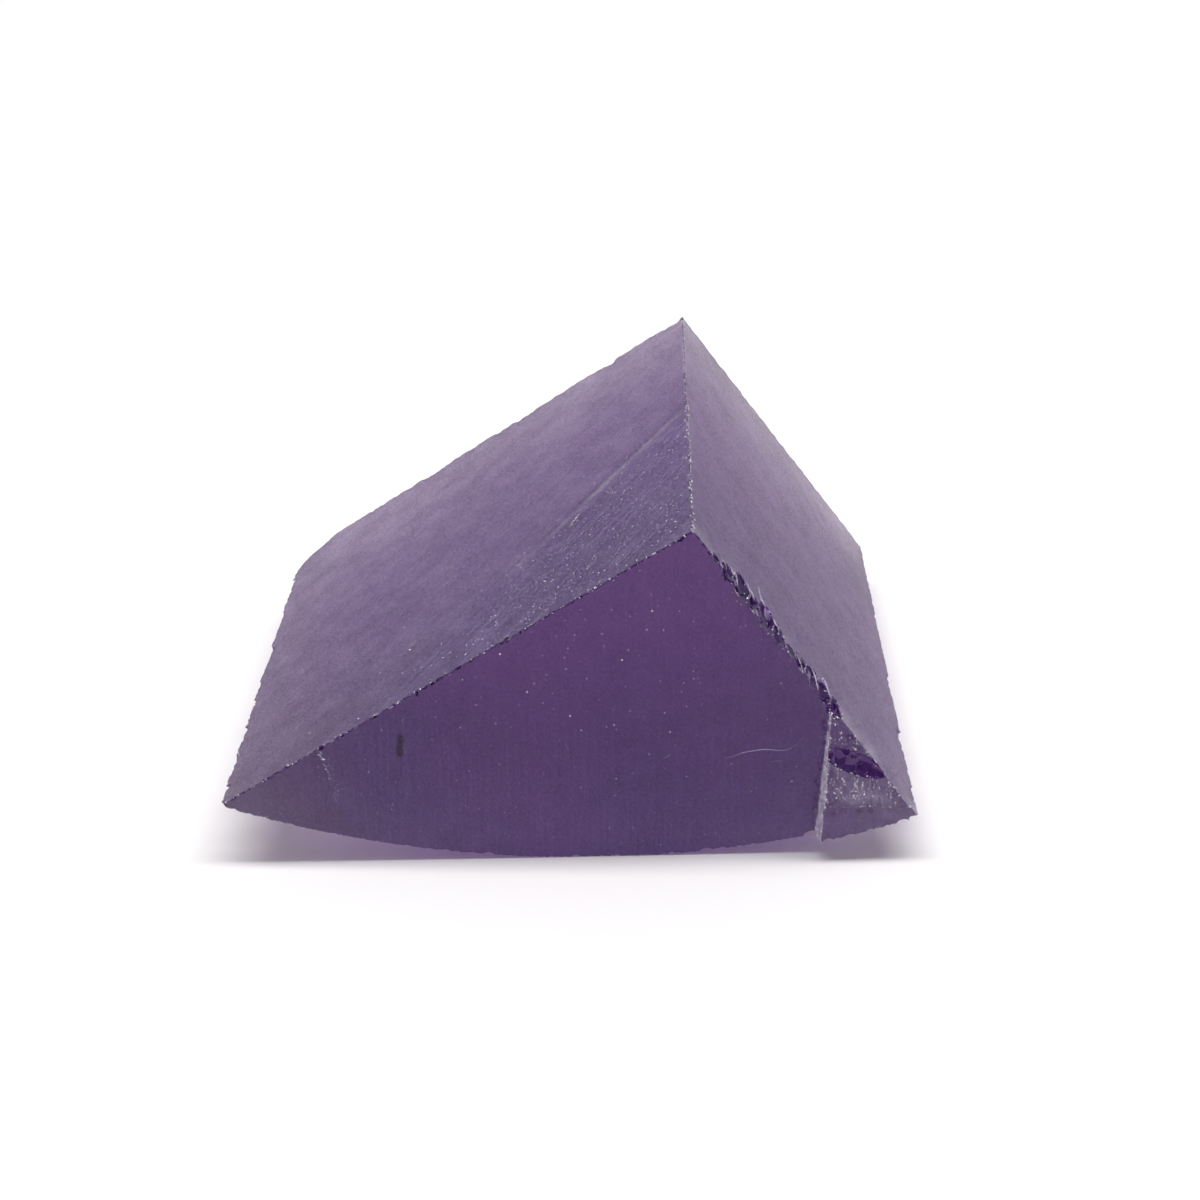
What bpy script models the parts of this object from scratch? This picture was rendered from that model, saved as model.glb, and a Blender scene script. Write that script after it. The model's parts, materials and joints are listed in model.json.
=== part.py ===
"""Colour-change sapphire rough: one wedge sawn from a grown boule, lying on its boule skin.

Metres, +Z up. The ridge runs along +Y, the sawn front face looks along -Y, and the stone
rests on the round skin below. The origin is under the middle of the stone, on the surface
that it lies on. Run it with: blender --background --python part.py
"""

import math

import bmesh
import bpy
from mathutils import Matrix, Vector

MM = 0.001

# The boule that the wedge was sawn from. Its axis is level and runs front to back.
BOULE_RADIUS = 45.6 * MM
BOULE_AXIS_YAW = math.radians(1.0)

# The two sawn slopes meet in a ridge. Heights and places are from the lowest line of the skin.
RIDGE_X = 3.8 * MM
RIDGE_HEIGHT = 15.6 * MM
LEFT_SLOPE = math.radians(32.3)
RIGHT_SLOPE = math.radians(53.55)

# A narrow worn flat along the lowest line of the skin: the stone rests on it.
REST_HALF_WIDTH = 2.2 * MM

# The sawn front and back faces are upright, and neither is quite square to the boule.
FRONT_YAW = math.radians(2.0)
BACK_YAW = math.radians(5.2)
BACK_DISTANCE = 25.5 * MM

# The last of the front cut was not sawn but broken, which left a tab at the lower right.
TAB_FOOT_X = 9.4 * MM
TAB_HEAD_X = 9.75 * MM
TAB_HEAD_Z = 7.4 * MM
TAB_FOOT_Z = 1.4 * MM
TAB_PROUD_AT_HEAD = 0.18 * MM
TAB_PROUD_AT_FOOT = 0.85 * MM
TAB_BEVEL = 0.22 * MM
TAB_LEDGE_Z = 2.65 * MM
TAB_LEDGE_DEPTH = 0.16 * MM

SKIN_STEPS = 20          # flats in the skin's arc on each side of the worn flat
SPARE = 6.0 * MM         # how far the blank and the cutters run past what they cut
FLAKE_ROUNDNESS = 3      # icosphere subdivisions of an edge flake
HOLLOW_ROUNDNESS = 4     # icosphere subdivisions of the glassy hollow

# Shells of crystal sprang off the front edge of the right slope. They reach far back under the
# slope and only a little way down the front face. Millimetres: place along the edge from the
# ridge, half width along the edge, half reach into the slope, bite.
SHELL_HEIGHT = 0.9 * MM
SHELL_SET_BACK = 0.15    # share of its reach by which a shell's middle lies behind the edge
FRONT_RIGHT_SHELLS = (
    (1.70, 0.55, 0.85, 0.12), (2.55, 0.75, 1.15, 0.22), (3.55, 0.85, 1.85, 0.27),
    (4.50, 0.70, 1.50, 0.22), (5.40, 0.90, 1.95, 0.30), (6.30, 0.65, 1.35, 0.22),
    (7.10, 0.70, 0.95, 0.14), (7.95, 0.75, 1.25, 0.20), (8.85, 0.85, 1.50, 0.22),
    (9.70, 0.75, 1.15, 0.28), (10.45, 0.60, 0.90, 0.34),
)

# The edges between the slopes and the skin broke in steps, like the teeth of a saw. Each scoop is
# deepest at a tooth's tip and runs out towards the front. Millimetres: place of the tip along the
# edge from the front, length of the scoop, bite at the tip.
SCOOP_RADIUS = 0.6 * MM
SCOOP_SIDES = 20
SCOOP_OVERRUN = 1.08     # how far a scoop runs past the place where it leaves the stone
LEFT_SKIN_TEETH = (
    (1.65, 1.60, 0.17), (4.17, 2.45, 0.19), (6.62, 2.40, 0.20), (9.10, 2.45, 0.17),
    (10.81, 1.65, 0.15), (14.20, 3.35, 0.23), (18.00, 3.75, 0.15), (21.60, 3.50, 0.13),
)
RIGHT_SKIN_TEETH = (
    (1.78, 1.60, 0.22), (6.45, 4.60, 0.26), (11.85, 5.30, 0.19), (18.40, 6.40, 0.13),
    (24.20, 5.70, 0.12),
)

# Round flakes: millimetres along the edge, radius and bite.
BACK_RIDGE_FLAKES = ((0.9, 1.0, 0.22), (4.8, 2.2, 0.18), (9.5, 1.6, 0.20), (15.2, 2.4, 0.22))
LEFT_TIP_FLAKES = ((0.0, 0.85, 0.24),)


def clear_scene():
    for old in list(bpy.data.objects):
        bpy.data.objects.remove(old, do_unlink=True)


def skin_height(x):
    """Height of the boule skin at x, with the worn flat at zero."""
    def on_circle(across):
        return BOULE_RADIUS - math.sqrt(BOULE_RADIUS ** 2 - across ** 2)
    return on_circle(max(abs(x), REST_HALF_WIDTH)) - on_circle(REST_HALF_WIDTH)


def corner_x(side, slope):
    """Where a sawn slope runs out through the skin, found by halving the span; side is -1 or 1."""
    inner, outer = 0.0, BOULE_RADIUS / 2
    for _ in range(60):
        middle = (inner + outer) / 2
        x = RIDGE_X + side * middle
        if RIDGE_HEIGHT - middle * math.tan(slope) > skin_height(x):
            inner = middle
        else:
            outer = middle
    return RIDGE_X + side * inner


LEFT_CORNER_X = corner_x(-1, LEFT_SLOPE)
RIGHT_CORNER_X = corner_x(1, RIGHT_SLOPE)


def at_depth(x, z, y):
    """The point of the section (x, z) carried along the boule's axis to y."""
    return Vector((x + y * math.tan(BOULE_AXIS_YAW), y, z))


def on_face(x, z, yaw, distance=0.0):
    """The point of the section (x, z) where its line meets a sawn end face."""
    y = (distance + x * math.tan(yaw)) / (1 - math.tan(BOULE_AXIS_YAW) * math.tan(yaw))
    return at_depth(x, z, y)


def wedge_section():
    """Section outline, seen from the front, anticlockwise from the ridge."""
    left = [
        LEFT_CORNER_X + (-REST_HALF_WIDTH - LEFT_CORNER_X) * i / SKIN_STEPS
        for i in range(SKIN_STEPS + 1)
    ]
    right = [
        REST_HALF_WIDTH + (RIGHT_CORNER_X - REST_HALF_WIDTH) * i / SKIN_STEPS
        for i in range(SKIN_STEPS + 1)
    ]
    return [(RIDGE_X, RIDGE_HEIGHT)] + [(x, skin_height(x)) for x in left + right]


def saw_off(bm, point, outward):
    """Cut the closed mesh along a plane, drop the outer side and cap the cut."""
    geometry = bm.verts[:] + bm.edges[:] + bm.faces[:]
    cut = bmesh.ops.bisect_plane(
        bm, geom=geometry, dist=0.001 * MM, plane_co=point, plane_no=outward, clear_outer=True
    )
    rim = [item for item in cut["geom_cut"] if isinstance(item, bmesh.types.BMEdge)]
    bmesh.ops.contextual_create(bm, geom=rim)


def outward_across(start, end):
    """The level direction to the left of the way from start to end."""
    run = end - start
    return Vector((-run.y, run.x, 0.0)).normalized()


def face_out(bm):
    bmesh.ops.recalc_face_normals(bm, faces=bm.faces)


def mesh_object(name, bm, parent, cutter=False):
    mesh = bpy.data.meshes.new(name)
    bm.to_mesh(mesh)
    bm.free()
    thing = bpy.data.objects.new(name, mesh)
    thing.parent = parent
    bpy.context.scene.collection.objects.link(thing)
    if cutter:
        thing.hide_render = True
        thing.display_type = "WIRE"
    return thing


def sawn_blank(parent):
    """The wedge with its four saw cuts and its clipped back corner, before anything broke."""
    bm = bmesh.new()
    first = [bm.verts.new(at_depth(x, z, -SPARE)) for x, z in wedge_section()]
    end = bm.faces.new(first)
    length = BACK_DISTANCE + 2.5 * SPARE
    run = at_depth(0.0, 0.0, length)
    swept = bmesh.ops.extrude_face_region(bm, geom=[end], use_keep_orig=True)
    moved = [item for item in swept["geom"] if isinstance(item, bmesh.types.BMVert)]
    bmesh.ops.translate(bm, verts=moved, vec=run)
    face_out(bm)

    front_normal = Vector((math.sin(FRONT_YAW), -math.cos(FRONT_YAW), 0.0))
    saw_off(bm, front_normal * TAB_PROUD_AT_FOOT, front_normal)
    back_normal = Vector((-math.sin(BACK_YAW), math.cos(BACK_YAW), 0.0))
    saw_off(bm, Vector((0.0, BACK_DISTANCE, 0.0)), back_normal)

    corner = [Vector((x * MM, y * MM, 0.0)) for x, y in ((-15.9, 21.6), (-15.4, 22.9), (-14.2, 24.0))]
    saw_off(bm, corner[0], outward_across(corner[0], corner[1]))
    saw_off(bm, corner[1], outward_across(corner[1], corner[2]))
    face_out(bm)
    return mesh_object("sapphire", bm, parent)


def block(name, near, far, parent):
    """A six-sided cutter between two four-cornered ends."""
    bm = bmesh.new()
    a = [bm.verts.new(point) for point in near]
    b = [bm.verts.new(point) for point in far]
    bm.faces.new(a)
    bm.faces.new(list(reversed(b)))
    for i in range(4):
        j = (i + 1) % 4
        bm.faces.new((a[j], a[i], b[i], b[j]))
    face_out(bm)
    return mesh_object(name, bm, parent, cutter=True)


def in_front(x, z, proud):
    """A point at x and z, so far in front of the sawn front face."""
    return Vector((
        x * math.cos(FRONT_YAW) + proud * math.sin(FRONT_YAW),
        x * math.sin(FRONT_YAW) - proud * math.cos(FRONT_YAW),
        z,
    ))


def step_x(z):
    """Where the tab's step crosses the front face at height z."""
    share = (z - TAB_FOOT_Z) / (TAB_HEAD_Z - TAB_FOOT_Z)
    return TAB_FOOT_X + (TAB_HEAD_X - TAB_FOOT_X) * share


def proud_at(z):
    """How far the tab's broken face stands out at height z."""
    share = (z - TAB_FOOT_Z) / (TAB_HEAD_Z - TAB_FOOT_Z)
    return TAB_PROUD_AT_FOOT + (TAB_PROUD_AT_HEAD - TAB_PROUD_AT_FOOT) * share


def kerf_cutter(parent):
    """What the saw took away in front of the sawn face, up to the tab's bevelled step."""
    low, high = -SPARE, RIDGE_HEIGHT + SPARE
    left = LEFT_CORNER_X - SPARE
    lean = TAB_BEVEL * SPARE / TAB_PROUD_AT_FOOT
    floor_end = [
        in_front(left, low, 0.0), in_front(step_x(low), low, 0.0),
        in_front(step_x(low) + lean, low, SPARE), in_front(left, low, SPARE),
    ]
    top_end = [
        in_front(left, high, 0.0), in_front(step_x(high), high, 0.0),
        in_front(step_x(high) + lean, high, SPARE), in_front(left, high, SPARE),
    ]
    return block("cut_kerf", floor_end, top_end, parent)


def break_cutter(name, low, high, depth, parent):
    """What broke away in front of the tab between two heights, depth deeper than its face."""
    right = RIGHT_CORNER_X + SPARE
    left = TAB_FOOT_X - TAB_BEVEL
    ends = []
    for z in (low, high):
        proud = proud_at(z) - depth
        ends.append([
            in_front(left, z, proud), in_front(right, z, proud),
            in_front(right, z, SPARE), in_front(left, z, SPARE),
        ])
    return block(name, ends[0], ends[1], parent)


def ball(name, centre, radii, turn, roundness, parent):
    bm = bmesh.new()
    bmesh.ops.create_icosphere(bm, subdivisions=roundness, radius=1.0)
    place = Matrix.Translation(centre) @ turn @ Matrix.Diagonal((*radii, 1.0))
    bmesh.ops.transform(bm, matrix=place, verts=bm.verts)
    return mesh_object(name, bm, parent, cutter=True)


def flake_cutters(name, start, end, outward, spots, parent):
    """One ball for each flake along an edge; each bites into the edge from outside."""
    along = (end - start).normalized()
    cutters = []
    for number, (distance, radius, bite) in enumerate(spots, start=1):
        centre = start + along * distance * MM + outward * (radius - bite) * MM
        turn = Matrix.Rotation(math.radians(37.0 * number), 4, along)
        radii = (radius * MM, radius * MM, radius * MM)
        cutters.append(
            ball(f"cut_{name}_{number}", centre, radii, turn, FLAKE_ROUNDNESS, parent)
        )
    return cutters


def glassy_hollow(parent):
    """The long smooth hollow across the broken tab."""
    centre = in_front(10.9 * MM, 4.85 * MM, proud_at(4.85 * MM) + 0.32 * MM)
    turn = Matrix.Rotation(math.radians(23.0), 4, "Y")
    radii = (1.75 * MM, 0.62 * MM, 0.62 * MM)
    return ball("cut_hollow", centre, radii, turn, HOLLOW_ROUNDNESS, parent)


def shell_cutters(start, end, slope_normal, parent):
    """One flattened ball for each shell; it lies along the boule under the right slope."""
    along = (end - start).normalized()
    back = slope_normal.cross(along).normalized()
    if back.y < 0:
        back.negate()
    turn = Matrix((along, back, along.cross(back))).transposed().to_4x4()
    cutters = []
    for number, (place, half_width, half_reach, bite) in enumerate(FRONT_RIGHT_SHELLS, start=1):
        over = slope_normal * (SHELL_HEIGHT - bite * MM)
        centre = start + along * place * MM + back * half_reach * SHELL_SET_BACK * MM + over
        radii = (half_width * MM, half_reach * MM, SHELL_HEIGHT)
        cutters.append(
            ball(f"cut_shell_{number}", centre, radii, turn, FLAKE_ROUNDNESS, parent)
        )
    return cutters


def scoop(name, far, near, parent):
    """A round bar between two points; its flat far end leaves a step in the edge."""
    bm = bmesh.new()
    run = (near - far) * SCOOP_OVERRUN
    bmesh.ops.create_cone(
        bm, cap_ends=True, segments=SCOOP_SIDES, radius1=SCOOP_RADIUS, radius2=SCOOP_RADIUS,
        depth=run.length,
    )
    turn = Vector((0.0, 0.0, 1.0)).rotation_difference(run).to_matrix().to_4x4()
    bmesh.ops.transform(bm, matrix=Matrix.Translation(far + run / 2) @ turn, verts=bm.verts)
    return mesh_object(name, bm, parent, cutter=True)


def tooth_cutters(name, start, end, outward, teeth, parent):
    along = (end - start).normalized()
    cutters = []
    for number, (tip, length, bite) in enumerate(teeth, start=1):
        far = start + along * tip * MM + outward * (SCOOP_RADIUS - bite * MM)
        near = start + along * (tip - length) * MM + outward * SCOOP_RADIUS
        cutters.append(scoop(f"cut_{name}_{number}", far, near, parent))
    return cutters


def halfway(first, second):
    return (first.normalized() + second.normalized()).normalized()


def all_cutters(parent):
    front = Vector((math.sin(FRONT_YAW), -math.cos(FRONT_YAW), 0.0))
    back = Vector((-math.sin(BACK_YAW), math.cos(BACK_YAW), 0.0))
    left_slope = Vector((-math.sin(LEFT_SLOPE), 0.0, math.cos(LEFT_SLOPE)))
    right_slope = Vector((math.sin(RIGHT_SLOPE), 0.0, math.cos(RIGHT_SLOPE)))
    left_skin = Vector((LEFT_CORNER_X, 0.0, -BOULE_RADIUS))
    right_skin = Vector((RIGHT_CORNER_X, 0.0, -BOULE_RADIUS))

    ridge_front = on_face(RIDGE_X, RIDGE_HEIGHT, FRONT_YAW)
    ridge_back = on_face(RIDGE_X, RIDGE_HEIGHT, BACK_YAW, BACK_DISTANCE)
    left_z, right_z = skin_height(LEFT_CORNER_X), skin_height(RIGHT_CORNER_X)
    left_front = on_face(LEFT_CORNER_X, left_z, FRONT_YAW)
    left_back = on_face(LEFT_CORNER_X, left_z, BACK_YAW, BACK_DISTANCE)
    right_front = on_face(RIGHT_CORNER_X, right_z, FRONT_YAW)
    right_back = on_face(RIGHT_CORNER_X, right_z, BACK_YAW, BACK_DISTANCE)
    left_edge = halfway(left_slope, left_skin)
    right_edge = halfway(right_slope, right_skin)

    low, ledge, high = -SPARE, TAB_LEDGE_Z, RIDGE_HEIGHT + SPARE
    cutters = [
        kerf_cutter(parent),
        break_cutter("cut_break", low, high, 0.0, parent),
        break_cutter("cut_ledge", low, ledge, TAB_LEDGE_DEPTH, parent),
        glassy_hollow(parent),
    ]
    cutters += shell_cutters(ridge_front, right_front, right_slope, parent)
    cutters += tooth_cutters(
        "left_skin", left_front, left_back, left_edge, LEFT_SKIN_TEETH, parent
    )
    cutters += tooth_cutters(
        "right_skin", right_front, right_back, right_edge, RIGHT_SKIN_TEETH, parent
    )
    cutters += flake_cutters(
        "back_left", ridge_back, left_back, halfway(back, left_slope),
        BACK_RIDGE_FLAKES, parent,
    )
    cutters += flake_cutters(
        "left_tip", left_front, left_back, halfway(front, left_edge), LEFT_TIP_FLAKES, parent
    )
    return cutters


def sapphire_material():
    material = bpy.data.materials.new("sawn_sapphire")
    material.use_nodes = True
    shader = material.node_tree.nodes["Principled BSDF"]
    shader.inputs["Base Color"].default_value = (0.21, 0.14, 0.30, 1.0)
    shader.inputs["Roughness"].default_value = 0.5
    shader.inputs["Metallic"].default_value = 0.0
    shader.inputs["IOR"].default_value = 1.77
    return material


def centre_on_base(stone, frame):
    """Move the whole group so that the origin is under the middle of the finished stone."""
    bpy.context.view_layer.update()
    finished = stone.evaluated_get(bpy.context.evaluated_depsgraph_get())
    corners = [Vector(vertex.co) for vertex in finished.data.vertices]
    low = [min(point[axis] for point in corners) for axis in range(3)]
    high = [max(point[axis] for point in corners) for axis in range(3)]
    frame.location = (-(low[0] + high[0]) / 2, -(low[1] + high[1]) / 2, -low[2])


def main():
    clear_scene()
    frame = bpy.data.objects.new("boule_frame", None)
    bpy.context.scene.collection.objects.link(frame)

    stone = sawn_blank(frame)
    stone.data.materials.append(sapphire_material())

    broken = bpy.data.collections.new("broken_away")
    bpy.context.scene.collection.children.link(broken)
    for cutter in all_cutters(frame):
        bpy.context.scene.collection.objects.unlink(cutter)
        broken.objects.link(cutter)

    chip = stone.modifiers.new("break_away", "BOOLEAN")
    chip.operation = "DIFFERENCE"
    chip.operand_type = "COLLECTION"
    chip.collection = broken
    chip.solver = "EXACT"

    centre_on_base(stone, frame)


main()
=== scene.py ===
# %% [markdown]
# # A sawn wedge of colour-change sapphire
# The real thing is one lump of crystal. Somebody grew a round boule of sapphire, sawed a wedge out
# of it and knocked its edges in handling. So there is one solid to make, and everything that makes
# it look real is in its surfaces: faces left matt by the saw, a round skin that the saw never
# touched, edges that are nibbled all along, and a few places that broke and are clear as glass.
#
# The sizes come from a frame, a measured model of the stone. This lesson loads that frame, makes a
# finer mesh over it, and leaves the frame itself alone.

# %% Load the frame
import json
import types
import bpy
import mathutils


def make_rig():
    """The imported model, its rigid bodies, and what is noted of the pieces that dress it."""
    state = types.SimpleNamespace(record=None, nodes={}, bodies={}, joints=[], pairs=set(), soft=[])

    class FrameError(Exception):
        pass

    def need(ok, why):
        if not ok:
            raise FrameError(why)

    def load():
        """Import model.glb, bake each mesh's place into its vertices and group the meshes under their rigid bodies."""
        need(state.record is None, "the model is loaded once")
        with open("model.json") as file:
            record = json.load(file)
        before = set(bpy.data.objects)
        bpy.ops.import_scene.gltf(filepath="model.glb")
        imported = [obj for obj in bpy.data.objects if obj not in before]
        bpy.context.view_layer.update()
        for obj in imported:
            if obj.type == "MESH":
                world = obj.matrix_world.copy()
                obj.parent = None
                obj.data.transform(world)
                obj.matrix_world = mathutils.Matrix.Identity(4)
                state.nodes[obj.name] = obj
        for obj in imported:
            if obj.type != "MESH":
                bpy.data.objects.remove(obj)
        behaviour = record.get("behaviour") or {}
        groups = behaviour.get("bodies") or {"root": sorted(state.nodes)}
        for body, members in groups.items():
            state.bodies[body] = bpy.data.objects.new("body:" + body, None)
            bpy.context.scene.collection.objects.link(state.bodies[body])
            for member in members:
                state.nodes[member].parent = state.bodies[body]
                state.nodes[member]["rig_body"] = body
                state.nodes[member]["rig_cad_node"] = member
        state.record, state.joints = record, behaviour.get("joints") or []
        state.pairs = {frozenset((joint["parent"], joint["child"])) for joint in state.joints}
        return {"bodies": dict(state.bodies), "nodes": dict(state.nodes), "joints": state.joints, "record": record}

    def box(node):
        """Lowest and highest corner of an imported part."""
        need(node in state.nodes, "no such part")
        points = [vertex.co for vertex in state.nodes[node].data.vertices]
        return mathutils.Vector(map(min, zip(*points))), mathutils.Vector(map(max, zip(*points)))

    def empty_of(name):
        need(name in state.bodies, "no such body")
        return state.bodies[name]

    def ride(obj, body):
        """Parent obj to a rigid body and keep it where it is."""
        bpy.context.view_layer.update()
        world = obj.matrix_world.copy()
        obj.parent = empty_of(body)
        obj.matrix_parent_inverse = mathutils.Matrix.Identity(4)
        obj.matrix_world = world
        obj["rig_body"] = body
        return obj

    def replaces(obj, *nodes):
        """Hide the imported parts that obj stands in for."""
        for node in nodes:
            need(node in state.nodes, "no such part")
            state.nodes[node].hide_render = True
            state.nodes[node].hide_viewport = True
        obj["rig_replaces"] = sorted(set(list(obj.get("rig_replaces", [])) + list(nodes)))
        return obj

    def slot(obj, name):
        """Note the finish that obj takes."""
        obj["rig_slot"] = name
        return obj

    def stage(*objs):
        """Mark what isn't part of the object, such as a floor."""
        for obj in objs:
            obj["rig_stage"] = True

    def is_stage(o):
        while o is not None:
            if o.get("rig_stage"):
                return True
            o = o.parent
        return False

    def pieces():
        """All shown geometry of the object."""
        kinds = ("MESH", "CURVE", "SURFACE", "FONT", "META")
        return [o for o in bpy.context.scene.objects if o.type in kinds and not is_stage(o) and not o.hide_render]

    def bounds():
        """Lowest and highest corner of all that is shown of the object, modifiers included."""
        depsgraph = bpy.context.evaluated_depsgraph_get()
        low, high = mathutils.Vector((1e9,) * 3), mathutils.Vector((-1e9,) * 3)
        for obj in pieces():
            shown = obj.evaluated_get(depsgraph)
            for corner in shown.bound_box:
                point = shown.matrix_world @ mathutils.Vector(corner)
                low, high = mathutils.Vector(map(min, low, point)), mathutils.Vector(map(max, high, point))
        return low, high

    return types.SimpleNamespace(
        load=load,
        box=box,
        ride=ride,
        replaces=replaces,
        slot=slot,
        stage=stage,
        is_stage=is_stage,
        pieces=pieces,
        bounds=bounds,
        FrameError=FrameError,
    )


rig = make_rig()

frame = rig.load()

import json
import math

import bmesh
import bpy
import numpy as np
from mathutils import Vector, bvhtree, geometry, kdtree

MM = 0.001
STONE = "sapphire"
BODY = "root"
cad_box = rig.bounds()
low, high = (Vector(corner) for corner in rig.box(STONE))
print("stone, mm:", [round(side / MM, 2) for side in high - low])

# %% [markdown]
# ## Which flat is which
# The frame's mesh is loose triangles. To talk about "the front" or "the ridge" they are first
# welded and merged into flats. The four sawn faces are simply the largest flats that look front,
# back, left and right. The skin is what looks down in broad strips. What stands in front of the
# sawn front belongs to the broken tab. All other small facets are breaks, of two sorts: near the
# front they are fresh and glassy flakes, and further back they are old, matt chips.

# %% Weld the triangles into flats
WELD = 0.002 * MM
FLAT_ANGLE = math.radians(0.3)
TOUCHES = 0.004 * MM


def welded_flats(node):
    flats = bmesh.new()
    flats.from_mesh(frame["nodes"][node].data)
    bmesh.ops.remove_doubles(flats, verts=flats.verts, dist=WELD)
    bmesh.ops.dissolve_limit(flats, angle_limit=FLAT_ANGLE, verts=flats.verts, edges=flats.edges)
    flats.normal_update()
    return flats


def largest_flat(flats, direction, lean=25.0):
    """The biggest flat that looks within `lean` degrees of a direction: its middle and normal."""
    limit = math.cos(math.radians(lean))
    facing = [face for face in flats.faces if face.normal.dot(direction) > limit]
    face = max(facing, key=lambda candidate: candidate.calc_area())
    return face.calc_center_median(), face.normal.copy()


flats = welded_flats(STONE)
TAB_DIRECTION = Vector((0.035, -0.993, 0.11)).normalized()
SAWN = {
    "front": largest_flat(flats, Vector((0, -1, 0))),
    "back": largest_flat(flats, Vector((0, 1, 0))),
    "left": largest_flat(flats, Vector((-0.53, 0, 0.85))),
    "right": largest_flat(flats, Vector((0.8, 0, 0.6))),
}
for name, (_, normal) in SAWN.items():
    print(f"{name:6s} faces", [round(part, 3) for part in normal])

# %% Name every flat
SKIN_LOOKS_DOWN = -0.85
SKIN_STRIP_AREA = 2.0 * MM * MM
TAB_LOOKS = 0.999
LEDGE_LOOKS_DOWN = -0.5
HOLLOW_ABOVE = 4.0 * MM
WALL_LOOKS_LEFT = -0.5
GLASSY_ABOVE = 3.3 * MM
GLASSY_BEHIND = 3.6 * MM
TIP_BEHIND = 0.9 * MM


def height_over(point, plane):
    middle, normal = plane
    return (point - middle).dot(normal)


def break_name(middle):
    """A fresh glassy flake, or an old matt chip."""
    behind = -height_over(middle, SAWN["front"])
    if middle.z > GLASSY_ABOVE and behind < GLASSY_BEHIND:
        return "flake"
    return "flake" if behind < TIP_BEHIND else "chip"


def flat_name(face):
    middle = face.calc_center_median()
    for name, plane in SAWN.items():
        if abs(height_over(middle, plane)) < TOUCHES and face.normal.dot(plane[1]) > 0.999:
            return name
    if face.normal.z < SKIN_LOOKS_DOWN and face.calc_area() > SKIN_STRIP_AREA:
        return "skin"
    if height_over(middle, SAWN["front"]) > TOUCHES:
        if face.normal.x < WALL_LOOKS_LEFT:
            return "wall"
        if face.normal.z < LEDGE_LOOKS_DOWN:
            return "ledge"
        coplanar = face.normal.dot(TAB_DIRECTION) > TAB_LOOKS
        return "tab" if coplanar or middle.z < HOLLOW_ABOVE else "flake"
    return break_name(middle)


KINDS = ("front", "back", "left", "right", "skin", "tab", "ledge", "wall", "flake", "chip")
kinds = [flat_name(face) for face in flats.faces]
print({kind: kinds.count(kind) for kind in KINDS})

# The stone rests on a narrow worn flat. Its front end is where the lowest line meets the saw cut.
worn_flat = max(flats.faces, key=lambda face: -face.normal.z * face.calc_area())
front_end = sorted((vert.co for vert in worn_flat.verts), key=lambda co: co.y)[:2]
FOOT = (front_end[0] + front_end[1]) / 2
FOOT.z = 0.0
print("foot, mm:", [round(part / MM, 3) for part in FOOT])

# %% [markdown]
# ## The camera
# The camera looks down at 27 degrees from about three stone-widths away, straight along the
# boule. A stone this small is nearer than Blender's usual clip start of 0.1 m, so that comes down.

# %% Place the camera
CAMERA_PITCH = math.radians(27.0)
CAMERA_FROM_FOOT = Vector((0.04, -77.75, 52.15)) * MM
FOCAL_LENGTH_IN_FRAMES = 2132 / 1200
SENSOR = 36.0


def put_in_scene(name, data):
    """A new object at the origin for a mesh, a curve, a camera or a light."""
    thing = bpy.data.objects.new(name, data)
    bpy.context.scene.collection.objects.link(thing)
    return thing


camera = put_in_scene("camera", bpy.data.cameras.new("camera"))
camera.location = FOOT + CAMERA_FROM_FOOT
camera.rotation_euler = (math.radians(90.0) - CAMERA_PITCH, 0.0, 0.0)
camera.data.sensor_width = SENSOR
camera.data.lens = SENSOR * FOCAL_LENGTH_IN_FRAMES
camera.data.clip_start = 1.0 * MM
bpy.context.scene.camera = camera
print("lens, mm:", round(camera.data.lens, 2))

# %% [markdown]
# ## Where the mesh has to be fine
# An edge chip is a tenth of a millimetre, and a sawn face is two centimetres of nothing. One mesh
# size for both would be millions of triangles. So the mesh is graded: a size field says how long a
# triangle's side may be at any point, finest along the edges and on the breaks, and growing with
# the distance from them. The distances come from k-d trees of points along the edges.

# %% The size field
FLATTEST = math.radians(3.0)
SAMPLE_STEP = 0.15 * MM
FINE_BAND = 0.25 * MM
GROWTH = 0.45
LARGEST_SIDE = 0.7 * MM
SIDE_FRONT = 0.055 * MM
SIDE_RIDGE = 0.07 * MM
SIDE_SKIN = 0.12 * MM
SIDE_BACK = 0.2 * MM
FRONT_DEPTH = 2.2 * MM


def side_along(edge):
    """The triangle side wanted along an edge of the flats."""
    names = {kinds[face.index] for face in edge.link_faces}
    if "back" in names:
        return SIDE_BACK
    if names == {"left", "right"}:
        return SIDE_RIDGE
    middle = (edge.verts[0].co + edge.verts[1].co) / 2
    behind_front = -height_over(middle, SAWN["front"])
    return SIDE_FRONT if behind_front < FRONT_DEPTH or "front" in names else SIDE_SKIN


def edge_samples():
    """Points along all edges that show, grouped by the side wanted there."""
    samples = {}
    for edge in flats.edges:
        if edge.calc_face_angle(0.0) < FLATTEST:
            continue
        start, end = (vert.co for vert in edge.verts)
        steps = max(1, math.ceil(edge.calc_length() / SAMPLE_STEP))
        points = samples.setdefault(side_along(edge), [])
        points += [start.lerp(end, step / steps) for step in range(steps + 1)]
    return samples


def tree_of(points):
    tree = kdtree.KDTree(len(points))
    for number, point in enumerate(points):
        tree.insert(point, number)
    tree.balance()
    return tree


fine_trees = [(side, tree_of(points)) for side, points in edge_samples().items()]


def side_at(point):
    """The triangle side wanted at a point."""
    wanted = LARGEST_SIDE
    for side, tree in fine_trees:
        distance = tree.find(point)[2]
        wanted = min(wanted, side + GROWTH * max(0.0, distance - FINE_BAND))
    return wanted


print("sides wanted, mm:", sorted(round(side / MM, 3) for side, _ in fine_trees))

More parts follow.
